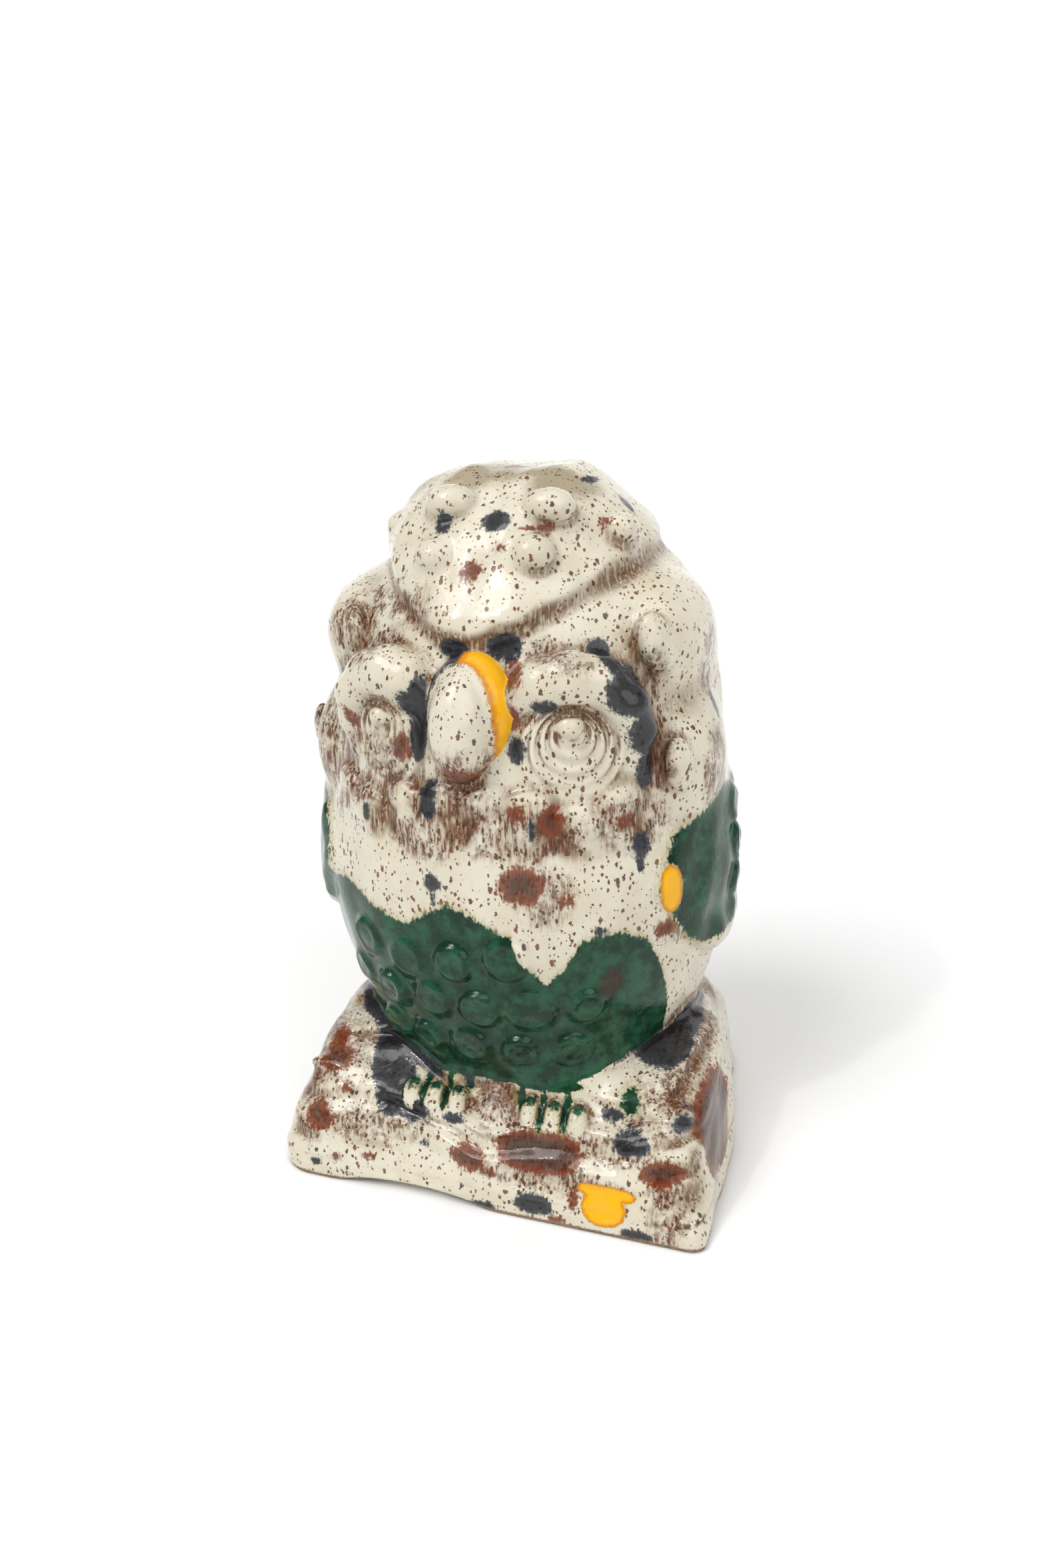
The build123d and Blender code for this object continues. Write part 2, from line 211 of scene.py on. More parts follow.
def log_distance(x, y, z):
    u, v = np.abs(y - LOG_Y) / LOG_HALF_DEPTH, np.maximum(z, 0) / LOG_HEIGHT
    share = np.maximum((u**LOG_ROUND + v**LOG_ROUND) ** (1 / LOG_ROUND), 1e-4)
    foot = 1 - smooth_step(z / FOOT_HEIGHT)
    out = np.hypot(y - LOG_Y, z) * (1 - 1 / share) - 0.4 - FOOT_FLARE * foot
    relief = smooth_step((z - RELIEF_FROM) / RELIEF_GROWS)
    out = out + bark_relief(x, y, z) * relief
    for side in (-1, 1):
        skew = END_TURN * np.maximum(y - END_TURN_FROM, 0) * (side > 0)
        end = end_distance(x, z, side, -1) + skew + 0.5 * ripple(x, y, z, 15, 21)
        out = smooth_max(out, end, 13 - 10 * foot)
    for (side, front), radius in LOG_CORNERS.items():
        cx = np.maximum(side * (x - LOG_X) - LOG_HALF_LENGTH + radius, 0)
        cy = np.maximum(front * (y - LOG_Y) - LOG_HALF_DEPTH + radius, 0)
        out = np.maximum(out, np.hypot(cx, cy) - radius - 1.2)
    return out


def floored_log(x, y, z):
    """The log cut off level, with the edge that lifted in firing and the vent in its floor."""
    across, up = (x - ARCH_X) / ARCH_HALF_WIDTH, (z + 0.6) / ARCH_HEIGHT
    arch = (np.hypot(across, up) - 1) * ARCH_HEIGHT
    arch = np.maximum(arch, y - (floor_low[1] + ARCH_DEPTH))
    vent = np.maximum(np.hypot(x - LOG_X, y - VENT_Y) - VENT_RADIUS, z - VENT_DEPTH)
    floored = smooth_max(smooth_max(log_distance(x, y, z), -z, 1.6), -arch, 1.2)
    return smooth_max(floored, -vent, 0.8)


BASES = {"barrel": barrel_distance, "log": floored_log}


class Cloud:
    """Points to be measured, keeping what several forms ask for."""

    def __init__(self, x, y, z, known=None):
        self.x, self.y, self.z = x, y, z
        self.known = known or {}

    def base(self, name):
        if name not in self.known:
            self.known[name] = BASES[name](self.x, self.y, self.z)
        return self.known[name]

    def take(self, mask):
        known = {name: values[mask] for name, values in self.known.items()}
        return Cloud(self.x[mask], self.y[mask], self.z[mask], known)

    def moved(self, normal, step):
        x, y, z = (c + n * step for c, n in zip((self.x, self.y, self.z), normal.T))
        return Cloud(x, y, z)

    def ripple(self, length, seed):
        return ripple(self.x, self.y, self.z, length, seed)

    def turned(self, azimuth):
        """Sideways, upward and outward coordinates seen along one azimuth."""
        a = radians(azimuth)
        return (
            self.x * cos(a) + self.y * sin(a),
            self.z,
            self.x * sin(a) - self.y * cos(a),
        )


# ---- Forms
forms = []


def add_form(node, low, high, blend, measure):
    forms.append((node, np.array(low, float), np.array(high, float), blend, measure))


def egg(center, radii, frame_rows=None):
    """An ellipsoid, upright or along the given axes."""
    center, radii = np.array(center, float), np.array(radii, float)
    rows = np.eye(3) if frame_rows is None else np.array(frame_rows, float)

    def measure(cloud):
        x, y, z = cloud.x - center[0], cloud.y - center[1], cloud.z - center[2]
        local = [x * r[0] + y * r[1] + z * r[2] for r in rows]
        near = np.sqrt(sum((c / r) ** 2 for c, r in zip(local, radii)))
        steep = np.sqrt(sum((c / r**2) ** 2 for c, r in zip(local, radii)))
        return near * (near - 1) / np.maximum(steep, 1e-4)

    return measure


def add_egg(node, center, radii, blend=1.5, frame_rows=None):
    span = np.array(radii, float).max() if frame_rows is not None else np.array(radii, float)
    center = np.array(center, float)
    margin = blend + 5
    low, high = center - span - margin, center + span + margin
    add_form(node, low, high, blend, egg(center, radii, frame_rows))


def add_pad(node, azimuth, height, lift, radii, blend=1.5, roll=0):
    """A lobe pressed on the barrel: sideways, upright and outward radii, rolled clockwise."""
    a, r = radians(azimuth), radians(roll)
    side, up, out = np.array((cos(a), sin(a), 0)), np.array((0, 0, 1)), np.array((sin(a), -cos(a), 0))
    rows = (side * cos(r) - up * sin(r), side * sin(r) + up * cos(r), out)
    center = out * (barrel_reach(azimuth, height) + lift) + up * height
    add_egg(node, center, radii, blend, rows)


def add_worm(node, points, thickness, blend=1.5):
    """A rolled strip of clay through the points, with its radius at each."""
    points, thickness = np.array(points, float), np.array(thickness, float)

    def measure(cloud):
        best = np.full(cloud.x.shape, FAR)
        for p, q, r, s in zip(points, points[1:], thickness, thickness[1:]):
            d = q - p
            rel = (cloud.x - p[0], cloud.y - p[1], cloud.z - p[2])
            t = np.clip((rel[0] * d[0] + rel[1] * d[1] + rel[2] * d[2]) / (d @ d), 0, 1)
            gap = np.sqrt(sum((c - t * k) ** 2 for c, k in zip(rel, d)))
            best = smooth_min(best, gap - (r + (s - r) * t), 0.8)
        return best

    margin = thickness.max() + blend + 5
    add_form(node, points.min(0) - margin, points.max(0) + margin, blend, measure)


def skin(cloud, node=None):
    """Distance to the whole skin and, for a node, how much nearer its neighbours are than it."""
    shape = cloud.x.shape
    whole, own, other = (np.full(shape, FAR) for _ in range(3))
    for owner, low, high, blend, measure in forms:
        near = (cloud.z > low[2]) & (cloud.z < high[2])
        near &= (cloud.x > low[0]) & (cloud.x < high[0])
        near &= (cloud.y > low[1]) & (cloud.y < high[1])
        if not near.any():
            continue
        part = cloud.take(near)
        distance = measure(part)
        if near.all():
            cloud.known.update(part.known)
        whole[near] = smooth_min(whole[near], distance, blend)
        if node:
            side = own if owner == node else other
            side[near] = np.minimum(side[near], distance)
    return whole, own - other


def skin_reach(azimuth, height):
    """How far from the axis the skin formed so far is, in one direction."""
    reach, a = np.linspace(25, 75, 501), radians(azimuth)
    whole = skin(Cloud(reach * sin(a), -reach * cos(a), np.full(reach.shape, float(height))))[0]
    return reach[whole < 0].max()


# ---- Body and log forms
def body_measure(cloud):
    return cloud.base("barrel") + 0.32 * cloud.ripple(17, 3) + 0.3 * cloud.ripple(38, 4)


def log_part(region):
    return lambda cloud: np.maximum(cloud.base("log"), region(cloud))


def bark_region(cloud):
    ends = [end_distance(cloud.x, cloud.z, side, END_DEPTH) for side in (-1, 1)]
    return np.maximum(np.maximum(*ends), FLOOR_TOP - cloud.z)


def end_region(side):
    return lambda cloud: np.maximum(
        -end_distance(cloud.x, cloud.z, side, END_DEPTH), FLOOR_TOP - cloud.z
    )


LOG_LOW, LOG_HIGH = floor_low - 8, np.array((floor_high[0], floor_high[1], bark_high[2])) + 8
BODY_MEETS_LOG = 3
for node, region in (
    ("log_bark", bark_region),
    ("log_end_left", end_region(-1)),
    ("log_end_right", end_region(1)),
    ("log_floor", lambda cloud: cloud.z - FLOOR_TOP),
):
    add_form(node, LOG_LOW, LOG_HIGH, 0.01, log_part(region))
add_form("body_shell", (-70, -70, 8), (70, 70, 175), BODY_MEETS_LOG, body_measure)
add_pad("body_shell", 36, 33, -6.5, (17, 11, 9), 7)  # the belly hangs lower right of its middle

# Side lobes of the head and of the body under them, and the teardrop feathers on them.
FEATHERS = {  # azimuth, lean, half width, half height, half thickness
    "left": (("upper", 51, 10, (3.6, 6.4, 3)), ("lower", 74, 0, (3, 6, 2.4))),
    "right": (("upper", 56, -20, (4.4, 7, 3)), ("lower", 59, -6, (3.7, 6.2, 2.6))),
}
for name, side in (("left", -1), ("right", 1)):
    node = f"ruff_{name}"
    low, high = corners(node)
    outer = high[0] if side > 0 else -low[0]
    center = middle(node)
    add_egg(node, (side * (outer - 12.5), center[1], center[2] - 3), (10.5, 20, 13), 7)
    feather = middle(f"ruff_feather_lower_{name}")
    add_egg("body_shell", (side * 44.5, feather[1] + 9, feather[2] - 3), (8.5, 15, 14), 7)
    for place, azimuth, lean, radii in FEATHERS[name]:
        node = f"ruff_feather_{place}_{name}"
        height = middle(node)[2]
        lift = skin_reach(side * azimuth, height) - barrel_reach(side * azimuth, height)
        add_pad(node, side * azimuth, height, lift, radii, 1.3, side * lean)

# ---- Crown
cap_low, cap_high = corners("head_cap")
CROWN_Y = 3
CROWN_LEAN = 1.6  # how far the top sits to the left
LEAN_BOTTOM, LEAN_HEIGHT = 150, 20
HAIRLINE_BACK = 158
CROWN_DOME = 0.0045  # how fast the top falls away from its middle
DISH_DEPTH, DISH_X, DISH_Y, DISH_SPREAD = 1.1, 3, -12, 120  # a shallow dish in the top
CROWN_MIDDLE = cap_high[2] - 24
CROWN_PROFILE = np.array((  # height and radius of the cap's side
    (134, 48), (140, 46.2), (146, 43.2), (152, 39.4), (158, 36), (164, 32.8), (170, 28.6),
    (178, 22),
))
CROWN_HEIGHTS = np.linspace(134, 178, 120)
CROWN_RADII = fair_curve(CROWN_HEIGHTS, CROWN_PROFILE[:, 0], CROWN_PROFILE[:, 1])
HAIRLINE = np.array((  # the cap's lower edge over the face: sideways, height
    (-45, 163), (-36, 160), (-27, 154), (-19, 147.5), (-11, 142.5), (-3, 139.5), (5, 140.5),
    (13, 144), (22, 148.5), (31, 153.5), (40, 159), (48, 162),
))
HAIRLINE_X = np.linspace(-45, 48, 160)
HAIRLINE_Z = fair_curve(HAIRLINE_X, HAIRLINE[:, 0], HAIRLINE[:, 1])


def crown_measure(cloud):
    lean = CROWN_LEAN * smooth_step((cloud.z - LEAN_BOTTOM) / LEAN_HEIGHT)
    x, y, z = cloud.x + lean, cloud.y - CROWN_Y, cloud.z
    off = np.hypot(x, y)
    side = (off - np.interp(z, CROWN_HEIGHTS, CROWN_RADII)) * 0.93
    dish = DISH_DEPTH * np.exp(-((x - DISH_X) ** 2 + (y - DISH_Y) ** 2) / DISH_SPREAD)
    top = z - cap_high[2] - 1 + CROWN_DOME * off * off + dish
    front = smooth_step(0.5 - y / 30)
    edge = np.interp(x, HAIRLINE_X, HAIRLINE_Z) * front + HAIRLINE_BACK * (1 - front)
    bulk = smooth_max(side, top, 10) - 0.5
    lumps = 0.6 * ripple(x, y, z, 22, 31) + 0.25 * ripple(x, y, z, 10, 32)
    return smooth_max(bulk + lumps, (edge - z) * 0.85, 6.5)


add_form("head_cap", cap_low - (8, 8, 20), cap_high + 8, 1.6, crown_measure)
CURL_DEPTH, LEFT_CURL_DEPTH = 0.5, 1.8  # how far a curl is set in
for node, radius in (("crown_curls_top", 5), ("crown_curls_front", 5), ("crown_curls_side", 4.4)):
    for low, high in islands(node):
        center = (low + high) / 2
        inward = center - (0, CROWN_Y, CROWN_MIDDLE)
        on_left = node == "crown_curls_side" and center[0] < 0
        depth = LEFT_CURL_DEPTH if on_left else CURL_DEPTH
        center = center - inward / np.linalg.norm(inward) * depth
        wide = 1 + 0.25 * (abs(center[0]) < 14) * (node == "crown_curls_top")
        add_egg(node, center, (radius * wide, radius, radius * 0.85), 1.8)

# ---- Face
EYE_AZIMUTH = 25
EYE_RADIUS = half_size("eye_disc_right")[2]
RING_COUNT, RING_RISE = 5.4, 0.36
EYE_FORWARD = 1.3
EYE_SHIFT = {-1: -2.4, 1: 0.9}  # left, right: how far the face is moved away from the beak
RING_FOCUS = 6.5  # the rings close in on a point this far above the eye's middle


def eye_axes(side):
    a = radians(side * EYE_AZIMUTH)
    out = np.array((sin(a), -cos(a), 0))
    across = np.array((cos(a), sin(a), 0))
    disc = middle("eye_disc_right" if side > 0 else "eye_disc_left")
    return disc + out * EYE_FORWARD + across * side * EYE_SHIFT[side], across, out


def eye_measure(side):
    center, across, out = eye_axes(side)
    focus, radius = RING_FOCUS, EYE_RADIUS

    def measure(cloud):
        rel = (cloud.x - center[0], cloud.y - center[1], cloud.z - center[2])
        u = rel[0] * across[0] + rel[1] * across[1]
        w = rel[0] * out[0] + rel[1] * out[1]
        v = rel[2]
        far = np.hypot(u, v)
        a, b = v - focus, radius * radius - focus * focus
        ring = (focus * a + np.sqrt(focus * focus * a * a + b * (a * a + u * u))) / b
        rise = 2.1 * (1 - (far / radius) ** 2) + RING_RISE * np.cos(2 * np.pi * RING_COUNT * ring)
        face = smooth_max(w - rise, far - radius, 2)
        return np.maximum(face, -w - 4)

    return measure


def on_eye(side, u, v, w):
    """A point in front of the eye's disc: sideways away from the beak, up and out."""
    center, across, out = eye_axes(side)
    width, sink = (1, 0) if side > 0 else (0.84, 0.6)  # the left lid is drawn in
    return center + across * (side * u * width) + out * (w - sink) + np.array((0, 0, v))


LID = (  # the heavy lid over the eye: u, v, w, radius
    (-11, 12, -4.5, 4.6), (-6, 15, -2.4, 6), (0, 16.3, -1.6, 6.4), (7, 15.3, -1.8, 6),
)
LID_END = (  # its thick end, turned down round the eye's outer side
    (8, 15, -0.4, 4.8), (12.3, 10.5, 0.2, 5.2), (14.8, 4, -1.4, 4.8), (14.6, -3.5, -3, 3.6),
    (12.8, -9, -3.6, 2.4),
)
CHEEK_LOBES = {  # azimuth, height, sideways, upright, outward, roll
    "inner": ((7, 105.5, 5.6, 3.6, 2, 0), (18, 104.5, 5.2, 4, 1.9, -14), (12, 99, 6.5, 3.6, 1.1, 0)),
    "outer": ((31, 101.6, 5.4, 3.6, 1.9, -6), (43, 104.6, 5.6, 3.7, 2.2, -16), (37, 98, 7, 3.4, 1.1, 0)),
}
for name, side in (("left", -1), ("right", 1)):
    center, _, _ = eye_axes(side)
    reach = EYE_RADIUS + 6
    add_form(f"eye_disc_{name}", center - reach, center + reach, 0.9, eye_measure(side))
    nub = on_eye(side, -0.6, RING_FOCUS, 1.4)
    add_egg(f"eye_nub_{name}", nub, (3.2, 3.2, 2.9), 0.9)
    for roll in (LID, LID_END):
        line = [on_eye(side, u, v, w) for u, v, w, _ in roll]
        add_worm(f"brow_{name}", line, [row[3] for row in roll], 2.2)
    for place, lobes in CHEEK_LOBES.items():
        for azimuth, height, *radii, roll in lobes:
            add_pad(f"cheek_{place}_{name}", side * azimuth, height, -0.2, radii, 2.2, side * roll)

beak_low, beak_high = corners("beak")
BEAK_RADIUS = (beak_high[0] - beak_low[0]) / 2
BEAK_TILT = radians(10)
BEAK_CENTER = np.array((
    (beak_low[0] + beak_high[0]) / 2, beak_low[1] + BEAK_RADIUS, (beak_low[2] + beak_high[2]) / 2
))
BEAK_AXES = ((1, 0, 0), (0, cos(BEAK_TILT), -sin(BEAK_TILT)), (0, sin(BEAK_TILT), cos(BEAK_TILT)))
BEAK_FACE = (BEAK_RADIUS - 1.3, BEAK_RADIUS, 13.3)
BEAK_FACE_CENTER = BEAK_CENTER - (0.3, 0, 0.9)
add_egg("beak", BEAK_FACE_CENTER, BEAK_FACE, 0.6, BEAK_AXES)
add_egg("beak", BEAK_CENTER + (0.6, 3.2, 1.6), (BEAK_RADIUS + 1.5, 8, 13.6), 0.7, BEAK_AXES)

# ---- Wings, belly and tail
WING_OUTLINE = (  # shares of the wing's half depth and half height, front first
    (-1.34, 0.1), (-1.12, 0.58), (-0.4, 0.85), (0.5, 0.75), (1, 0.2), (0.66, -0.5), (0.1, -0.8),
    (-0.5, -0.74), (-1, -0.4),
)
WING_THICKNESS = {-1: 2.4, 1: 0.6}  # left, right
WING_ROUND = 3  # the outline is rounded off by this much
WING_DROOP, DROOP_TOP, DROOP_SPAN = 2.4, 72, 10  # how the tip stands out, and where that begins
PATCH_DEPTH = 5  # how far a patch on the barrel goes in under its own surface


def wing_edge(side):
    """The wing's outline as sideways and upward coordinates in its own azimuth."""
    center, span = middle("wing_right"), half_size("wing_right")
    across, tall = span[1] - WING_ROUND, span[2] - WING_ROUND
    return [(side * (center[1] + u * across), center[2] + v * tall) for u, v in WING_OUTLINE]


def wing_measure(side):
    edge = wing_edge(side)

    def measure(cloud):
        u, v, _ = cloud.turned(side * 90)
        barrel = cloud.base("barrel")
        droop = WING_DROOP * smooth_step((DROOP_TOP - cloud.z) / DROOP_SPAN)
        lumps = 0.5 * cloud.ripple(12, 41)
        face = barrel - WING_THICKNESS[side] - droop + lumps
        patch = smooth_max(face, polygon_distance(u, v, edge) - WING_ROUND, 3.5)
        return np.maximum(patch, -barrel - PATCH_DEPTH)

    return measure


def disc_measure(azimuth, height, radius, rise, base=0.0, rim=0.5):
    """A round feather on the barrel, with a raised rim."""

    def measure(cloud):
        u, v, _ = cloud.turned(azimuth)
        off = np.hypot(u, v - height)
        barrel = cloud.base("barrel") - base
        ring = rim * np.exp(-(((off - radius + 1.3) / 1.1) ** 2))
        face = barrel - rise * (0.55 + 0.45 * np.cos(np.minimum(off / radius, 1) * 1.9)) - ring
        face = face + 0.3 * cloud.ripple(9, 55)
        return np.maximum(smooth_max(face, off - radius, 1.6), -barrel - PATCH_DEPTH)

    return measure


def add_discs(node, rise, base=0.0, rim=0.5, flank=None, uneven=0.0):
    random = np.random.default_rng(len(forms))
    for low, high in islands(node):
        center = (low + high) / 2
        azimuth = flank or np.degrees(np.arctan2(center[0], -center[1]))
        radius = (high[2] - low[2]) / 2 * (1 + uneven * random.uniform(-0.9, 0.5))
        azimuth += 1.6 * uneven * random.normal() * (flank is None)
        height = center[2] + 5 * uneven * random.normal()
        strength = 1 - uneven * 2.2 * random.random()
        measure = disc_measure(azimuth, height, radius, rise * strength, base, rim * strength)
        add_form(node, low - radius - 9, high + radius + 9, 1.4, measure)


for name, side in (("left", -1), ("right", 1)):
    low, high = corners(f"wing_{name}")
    add_form(f"wing_{name}", low - 16, high + 16, 2.2, wing_measure(side))
    add_discs(f"wing_scales_{name}", 1.8, WING_THICKNESS[side] - 0.3, 0.45, side * 90, 0.15)
for row in ("upper", "middle", "lower"):
    add_discs(f"belly_scales_{row}", 1.7, 0, 0.75, None, 0.24)

tail_low, tail_high = corners("tail")
TAIL_OUTLINE = [(-8, tail_high[2]), (8, tail_high[2]), (14, tail_low[2]), (-14, tail_low[2])]


def tail_measure(cloud):
    u, v, _ = cloud.turned(180)
    barrel = cloud.base("barrel")
    edge = [(a * 0.8, b) for a, b in TAIL_OUTLINE]
    quills = 0.6 * np.cos(2 * np.pi * u / (4.2 + (tail_high[2] - v) * 0.06))
    face = smooth_max(barrel - 3 - quills, polygon_distance(u, v, edge) - 1.5, 3)
    return np.maximum(face, -barrel - PATCH_DEPTH)


add_form("tail", tail_low - 7, tail_high + 7, 1.5, tail_measure)

# ---- Toes and bark
LEAN = radians(36)
LEAN_AXES = ((1, 0, 0), (0, cos(LEAN), -sin(LEAN)), (0, sin(LEAN), cos(LEAN)))
TOE_LEAN, TOE_RADII, TOE_SHIFT = radians(18), (2.8, 3.5, 4.2), (0, 0.8, 0.4)
TOE_AXES = ((1, 0, 0), (0, cos(TOE_LEAN), -sin(TOE_LEAN)), (0, sin(TOE_LEAN), cos(TOE_LEAN)))
for side in ("left", "right"):
    for place in ("inner", "middle", "outer"):
        node = f"toe_{side}_{place}"
        low, high = corners(node)
        center = (low + high) / 2 + TOE_SHIFT
        add_egg(node, center, TOE_RADII, 0.8, TOE_AXES)

knot = middle("log_knot")
KNOT_RADIUS = 5.2


def knot_measure(cloud):
    u = cloud.x - knot[0]
    y, z = cloud.y - knot[1], cloud.z - knot[2]
    v, w = y * sin(LEAN) + z * cos(LEAN), -y * cos(LEAN) + z * sin(LEAN)
    ring = np.hypot(np.hypot(u, v) - KNOT_RADIUS + 1.3, w + 0.5) - 1.2
    heart = np.sqrt(u * u + v * v + (w * 1.3) ** 2) - 1.7
    return np.minimum(ring, heart)


low, high = corners("log_knot")
add_form("log_knot", low - 5, high + 5, 2.4, knot_measure)
add_egg("bark_tongue", middle("bark_tongue") + (0, 3.2, 1.5), (4.6, 3.6, 7), 2.5, LEAN_AXES)
for node in ("bark_ridges_left", "bark_ridges_right"):
    for low, high in islands(node):
        center, span = (low + high) / 2, (high - low) / 2
        add_egg(node, center + (0, 0.6, 0), (span[0], 1.9, 1.7), 2.4)

# ---- Paint
# Marks on the owl: azimuth, height, half width, half height.
NAVY_ON_OWL = (
    (-5, 139.5, 3.6, 2.4), (12, 140, 4.1, 3.1), (41, 138, 2.8, 3.4), (44, 131, 6.2, 5.4),
    (48, 122, 4.4, 6), (50, 112.5, 2.8, 5.6), (23, 128, 2.8, 1.9), (15.5, 118, 2, 3.2),
    (81, 122, 1.7, 3.4), (-16, 128, 2.2, 3), (-13, 124, 2.2, 10), (-30, 100, 1.3, 2.6),
    (48, 94, 2.6, 3.2), (47.5, 91, 1, 3.6), (-8, 86, 2.4, 2.1), (-8, 83, 0.7, 3), (36, 75, 1.6, 1.2),
    (-86, 104, 3, 12), (-9, 106, 2.4, 4.6), (19, 100, 0.9, 2.8), (-78, 120, 1.6, 7),
)
RUST_ON_OWL = (
    (16, 87, 5.6, 4.6), (15, 135, 1.9, 3), (15, 125, 1.3, 2.8), (93, 141, 2.1, 2.1),
    (-18, 117, 3, 3.4), (0.5, 113, 3.4, 2.2), (-46, 112, 2.2, 5), (-41, 101, 1.5, 2.5),
    (15, 104, 2.1, 2.2), (24, 102, 3, 3.8), (43, 100.5, 2.3, 1.8), (55, 72, 3.4, 2.4),
    (27, 83, 2.2, 1.3), (40, 60, 3.4, 3.8), (-37, 122, 1.2, 3),
)
# Brown washes, thin and streaky.
WASH_ON_OWL = (
    (54, 127, 5, 12), (-52, 124, 5.5, 17), (-28, 148, 9, 6), (-10, 106, 5, 9), (52, 111, 5, 8),
    (18, 99, 13, 7), (46, 100, 10, 7), (-34, 110, 9, 9), (13, 128, 3, 8), (-70, 122, 9, 16),
    (0, 104, 10, 6), (22, 84, 7, 7), (60, 72, 8, 5), (-38, 139, 10, 4), (75, 108, 8, 10),
    (-50, 143, 9, 8), (-58, 110, 6, 12), (-24, 112, 5, 10), (30, 139, 9, 3), (80, 133, 5, 9),
    (-8, 96, 14, 5),
)
# Marks on the crown: x, y, z, half width, half height.
NAVY_ON_CROWN = (
    (-10, -28, 166, 2.3, 2.6), (3, -29, 167, 3.6, 2.9), (20, -5, 176, 3.4, 1.4), (29, -3, 170, 1.4, 3.1),
)
RUST_ON_CROWN = (
    (2, -8, 177, 3.5, 1.4), (26, -17, 166, 1.2, 1.5), (15, -26, 165, 1.2, 1.1), (-1, -34, 156, 2.4, 2.3),
    (13, -28, 165.4, 4.2, 0.6), (5, -31, 161, 1.4, 0.8),
)
POOL_ON_CROWN = ((-9, -16, 176, 8, 4), (16, -14, 175, 10, 5), (2, -12, 177, 17, 6), (-20, -8, 172, 5, 6))
# Marks on the log's front: x, height, half width, half height.
NAVY_ON_LOG = (
    (-28, 31, 5, 7), (-23, 24, 5.5, 6), (-17, 21, 4, 3), (-6, 21, 3.2, 1.6), (-43, 5, 1.6, 1.3),
    (-13, 14, 1.4, 1), (-14, 1.6, 5, 1.3),
    (4, 2, 4, 1.2), (17, 5, 5.2, 3), (43, 2, 4.3, 1.9), (40, 22, 4.7, 2.8), (51, 26, 2.3, 2.2),
    (34, 26, 3.1, 1.5), (43, 36.5, 7, 3),
)
RUST_ON_LOG = (
    (-42, 28, 4.6, 2.7), (-43, 16, 4.4, 3.4), (-37, 23, 1.5, 1.5), (-24, 22, 1.6, 1.2),
    (17, 17, 11.4, 5.4), (-1, 13, 5, 3.3), (6, 11, 1.4, 1.4), (-28, 9, 1.8, 1.3), (-23, 12, 1, 1),
    (-37, 7, 1, 1.7), (27, 8, 1.4, 2.6), (48, 17, 5.4, 3.5), (49, 40, 3.6, 2.6), (23, 2, 2.3, 1.3),
    (-43, 31, 2.3, 2),
)
YELLOW_ON_LOG = ((34.6, 7.2, 5.6, 5), (34, 11, 6.6, 2.2), (39, 11, 3.4, 1.8))
WASH_ON_LOG = (
    (-16, 18, 6, 5), (8, 24, 9, 7), (-46, 22, 7, 14), (30, 20, 16, 4), (50, 10, 5, 12), (20, 12, 20, 4),
    (-36, 31, 12, 5), (0, 25, 10, 4), (44, 29, 9, 8), (-30, 16, 12, 4), (50, 38, 7, 8),
)
GREEN_TOP = (  # azimuth and height of the green glaze's upper edge
    (-110, 70), (-90, 80), (-75, 82), (-50, 78), (-43, 80), (-31, 77), (-17, 74), (-10, 78), (-4, 81),
    (6, 77), (13, 74), (15, 68), (22, 61), (27, 66), (31, 73), (41, 74), (50, 70), (56, 60), (62, 47),
    (68, 27),
)
GREEN_RUNS_ON_LOG = (
    (-15.2, 26, 0.9, 4.5), (-9.1, 26, 1, 4.5), (-3.5, 28, 1.1, 2.6), (10.6, 27, 1.2, 3.4),
    (16.5, 25, 0.9, 4.6), (22.6, 25.5, 1, 4.4), (38, 29, 2.3, 2.6), (17, 30.5, 9, 1.5),
    (-8, 30.5, 9, 1.5),
)
END_PATCH = (-25, 18, 15, 13)  # brown on the log's right end: y, height, half width, half height
WING_YELLOW = (56, 82, 3.4, 6)  # azimuth, height, half width, half height
WING_GREEN_BOTTOM = 64
BEAK_BROWN, BEAK_WASH = 114, 119  # heights up to which brown covers the tip and washes over it
BARE_RIM = 1.5  # height of the unglazed clay at the foot
GREEN_RIGHT, GREEN_LEFT, MM_PER_DEGREE = 66, -108, 0.85  # where the belly's green ends
TOE_GREEN = 26.6  # the belly's green has run down over the toes to this height
GATHER_WIDTH = (  # azimuth, and how wide dark glaze has gathered where the owl meets the log
    (-120, 1.4), (-60, 3), (-28, 3.2), (-14, 0.3), (14, 0.3), (30, 1), (60, 2.6), (120, 1.6),
)


AXIS_GAP = 12  # a mark on the owl colours only what is further than this from the axis
MARK_DEPTH = 12  # a mark on the crown reaches this far before and behind its own plane
EDGE_LIMIT = 9.0  # distances to a coat's edge are cut off at this


def spot(u, v, half_width, half_height):
    """Rough distance to an oval mark, from offsets in its own plane."""
    share = np.maximum(np.hypot(u / half_width, v / half_height), 0.2)
    return (share - 1) * np.hypot(u, v) / share - 0.2 * min(half_width, half_height) * (share < 0.21)


def owl_marks(cloud, marks):
    nearest = np.full(cloud.x.shape, FAR)
    for azimuth, height, half_width, half_height in marks:
        u, v, out = cloud.turned(azimuth)
        distance = spot(u, v - height, half_width, half_height)
        nearest = smooth_min(nearest, np.where(out > AXIS_GAP, distance, FAR), 1)
    return nearest


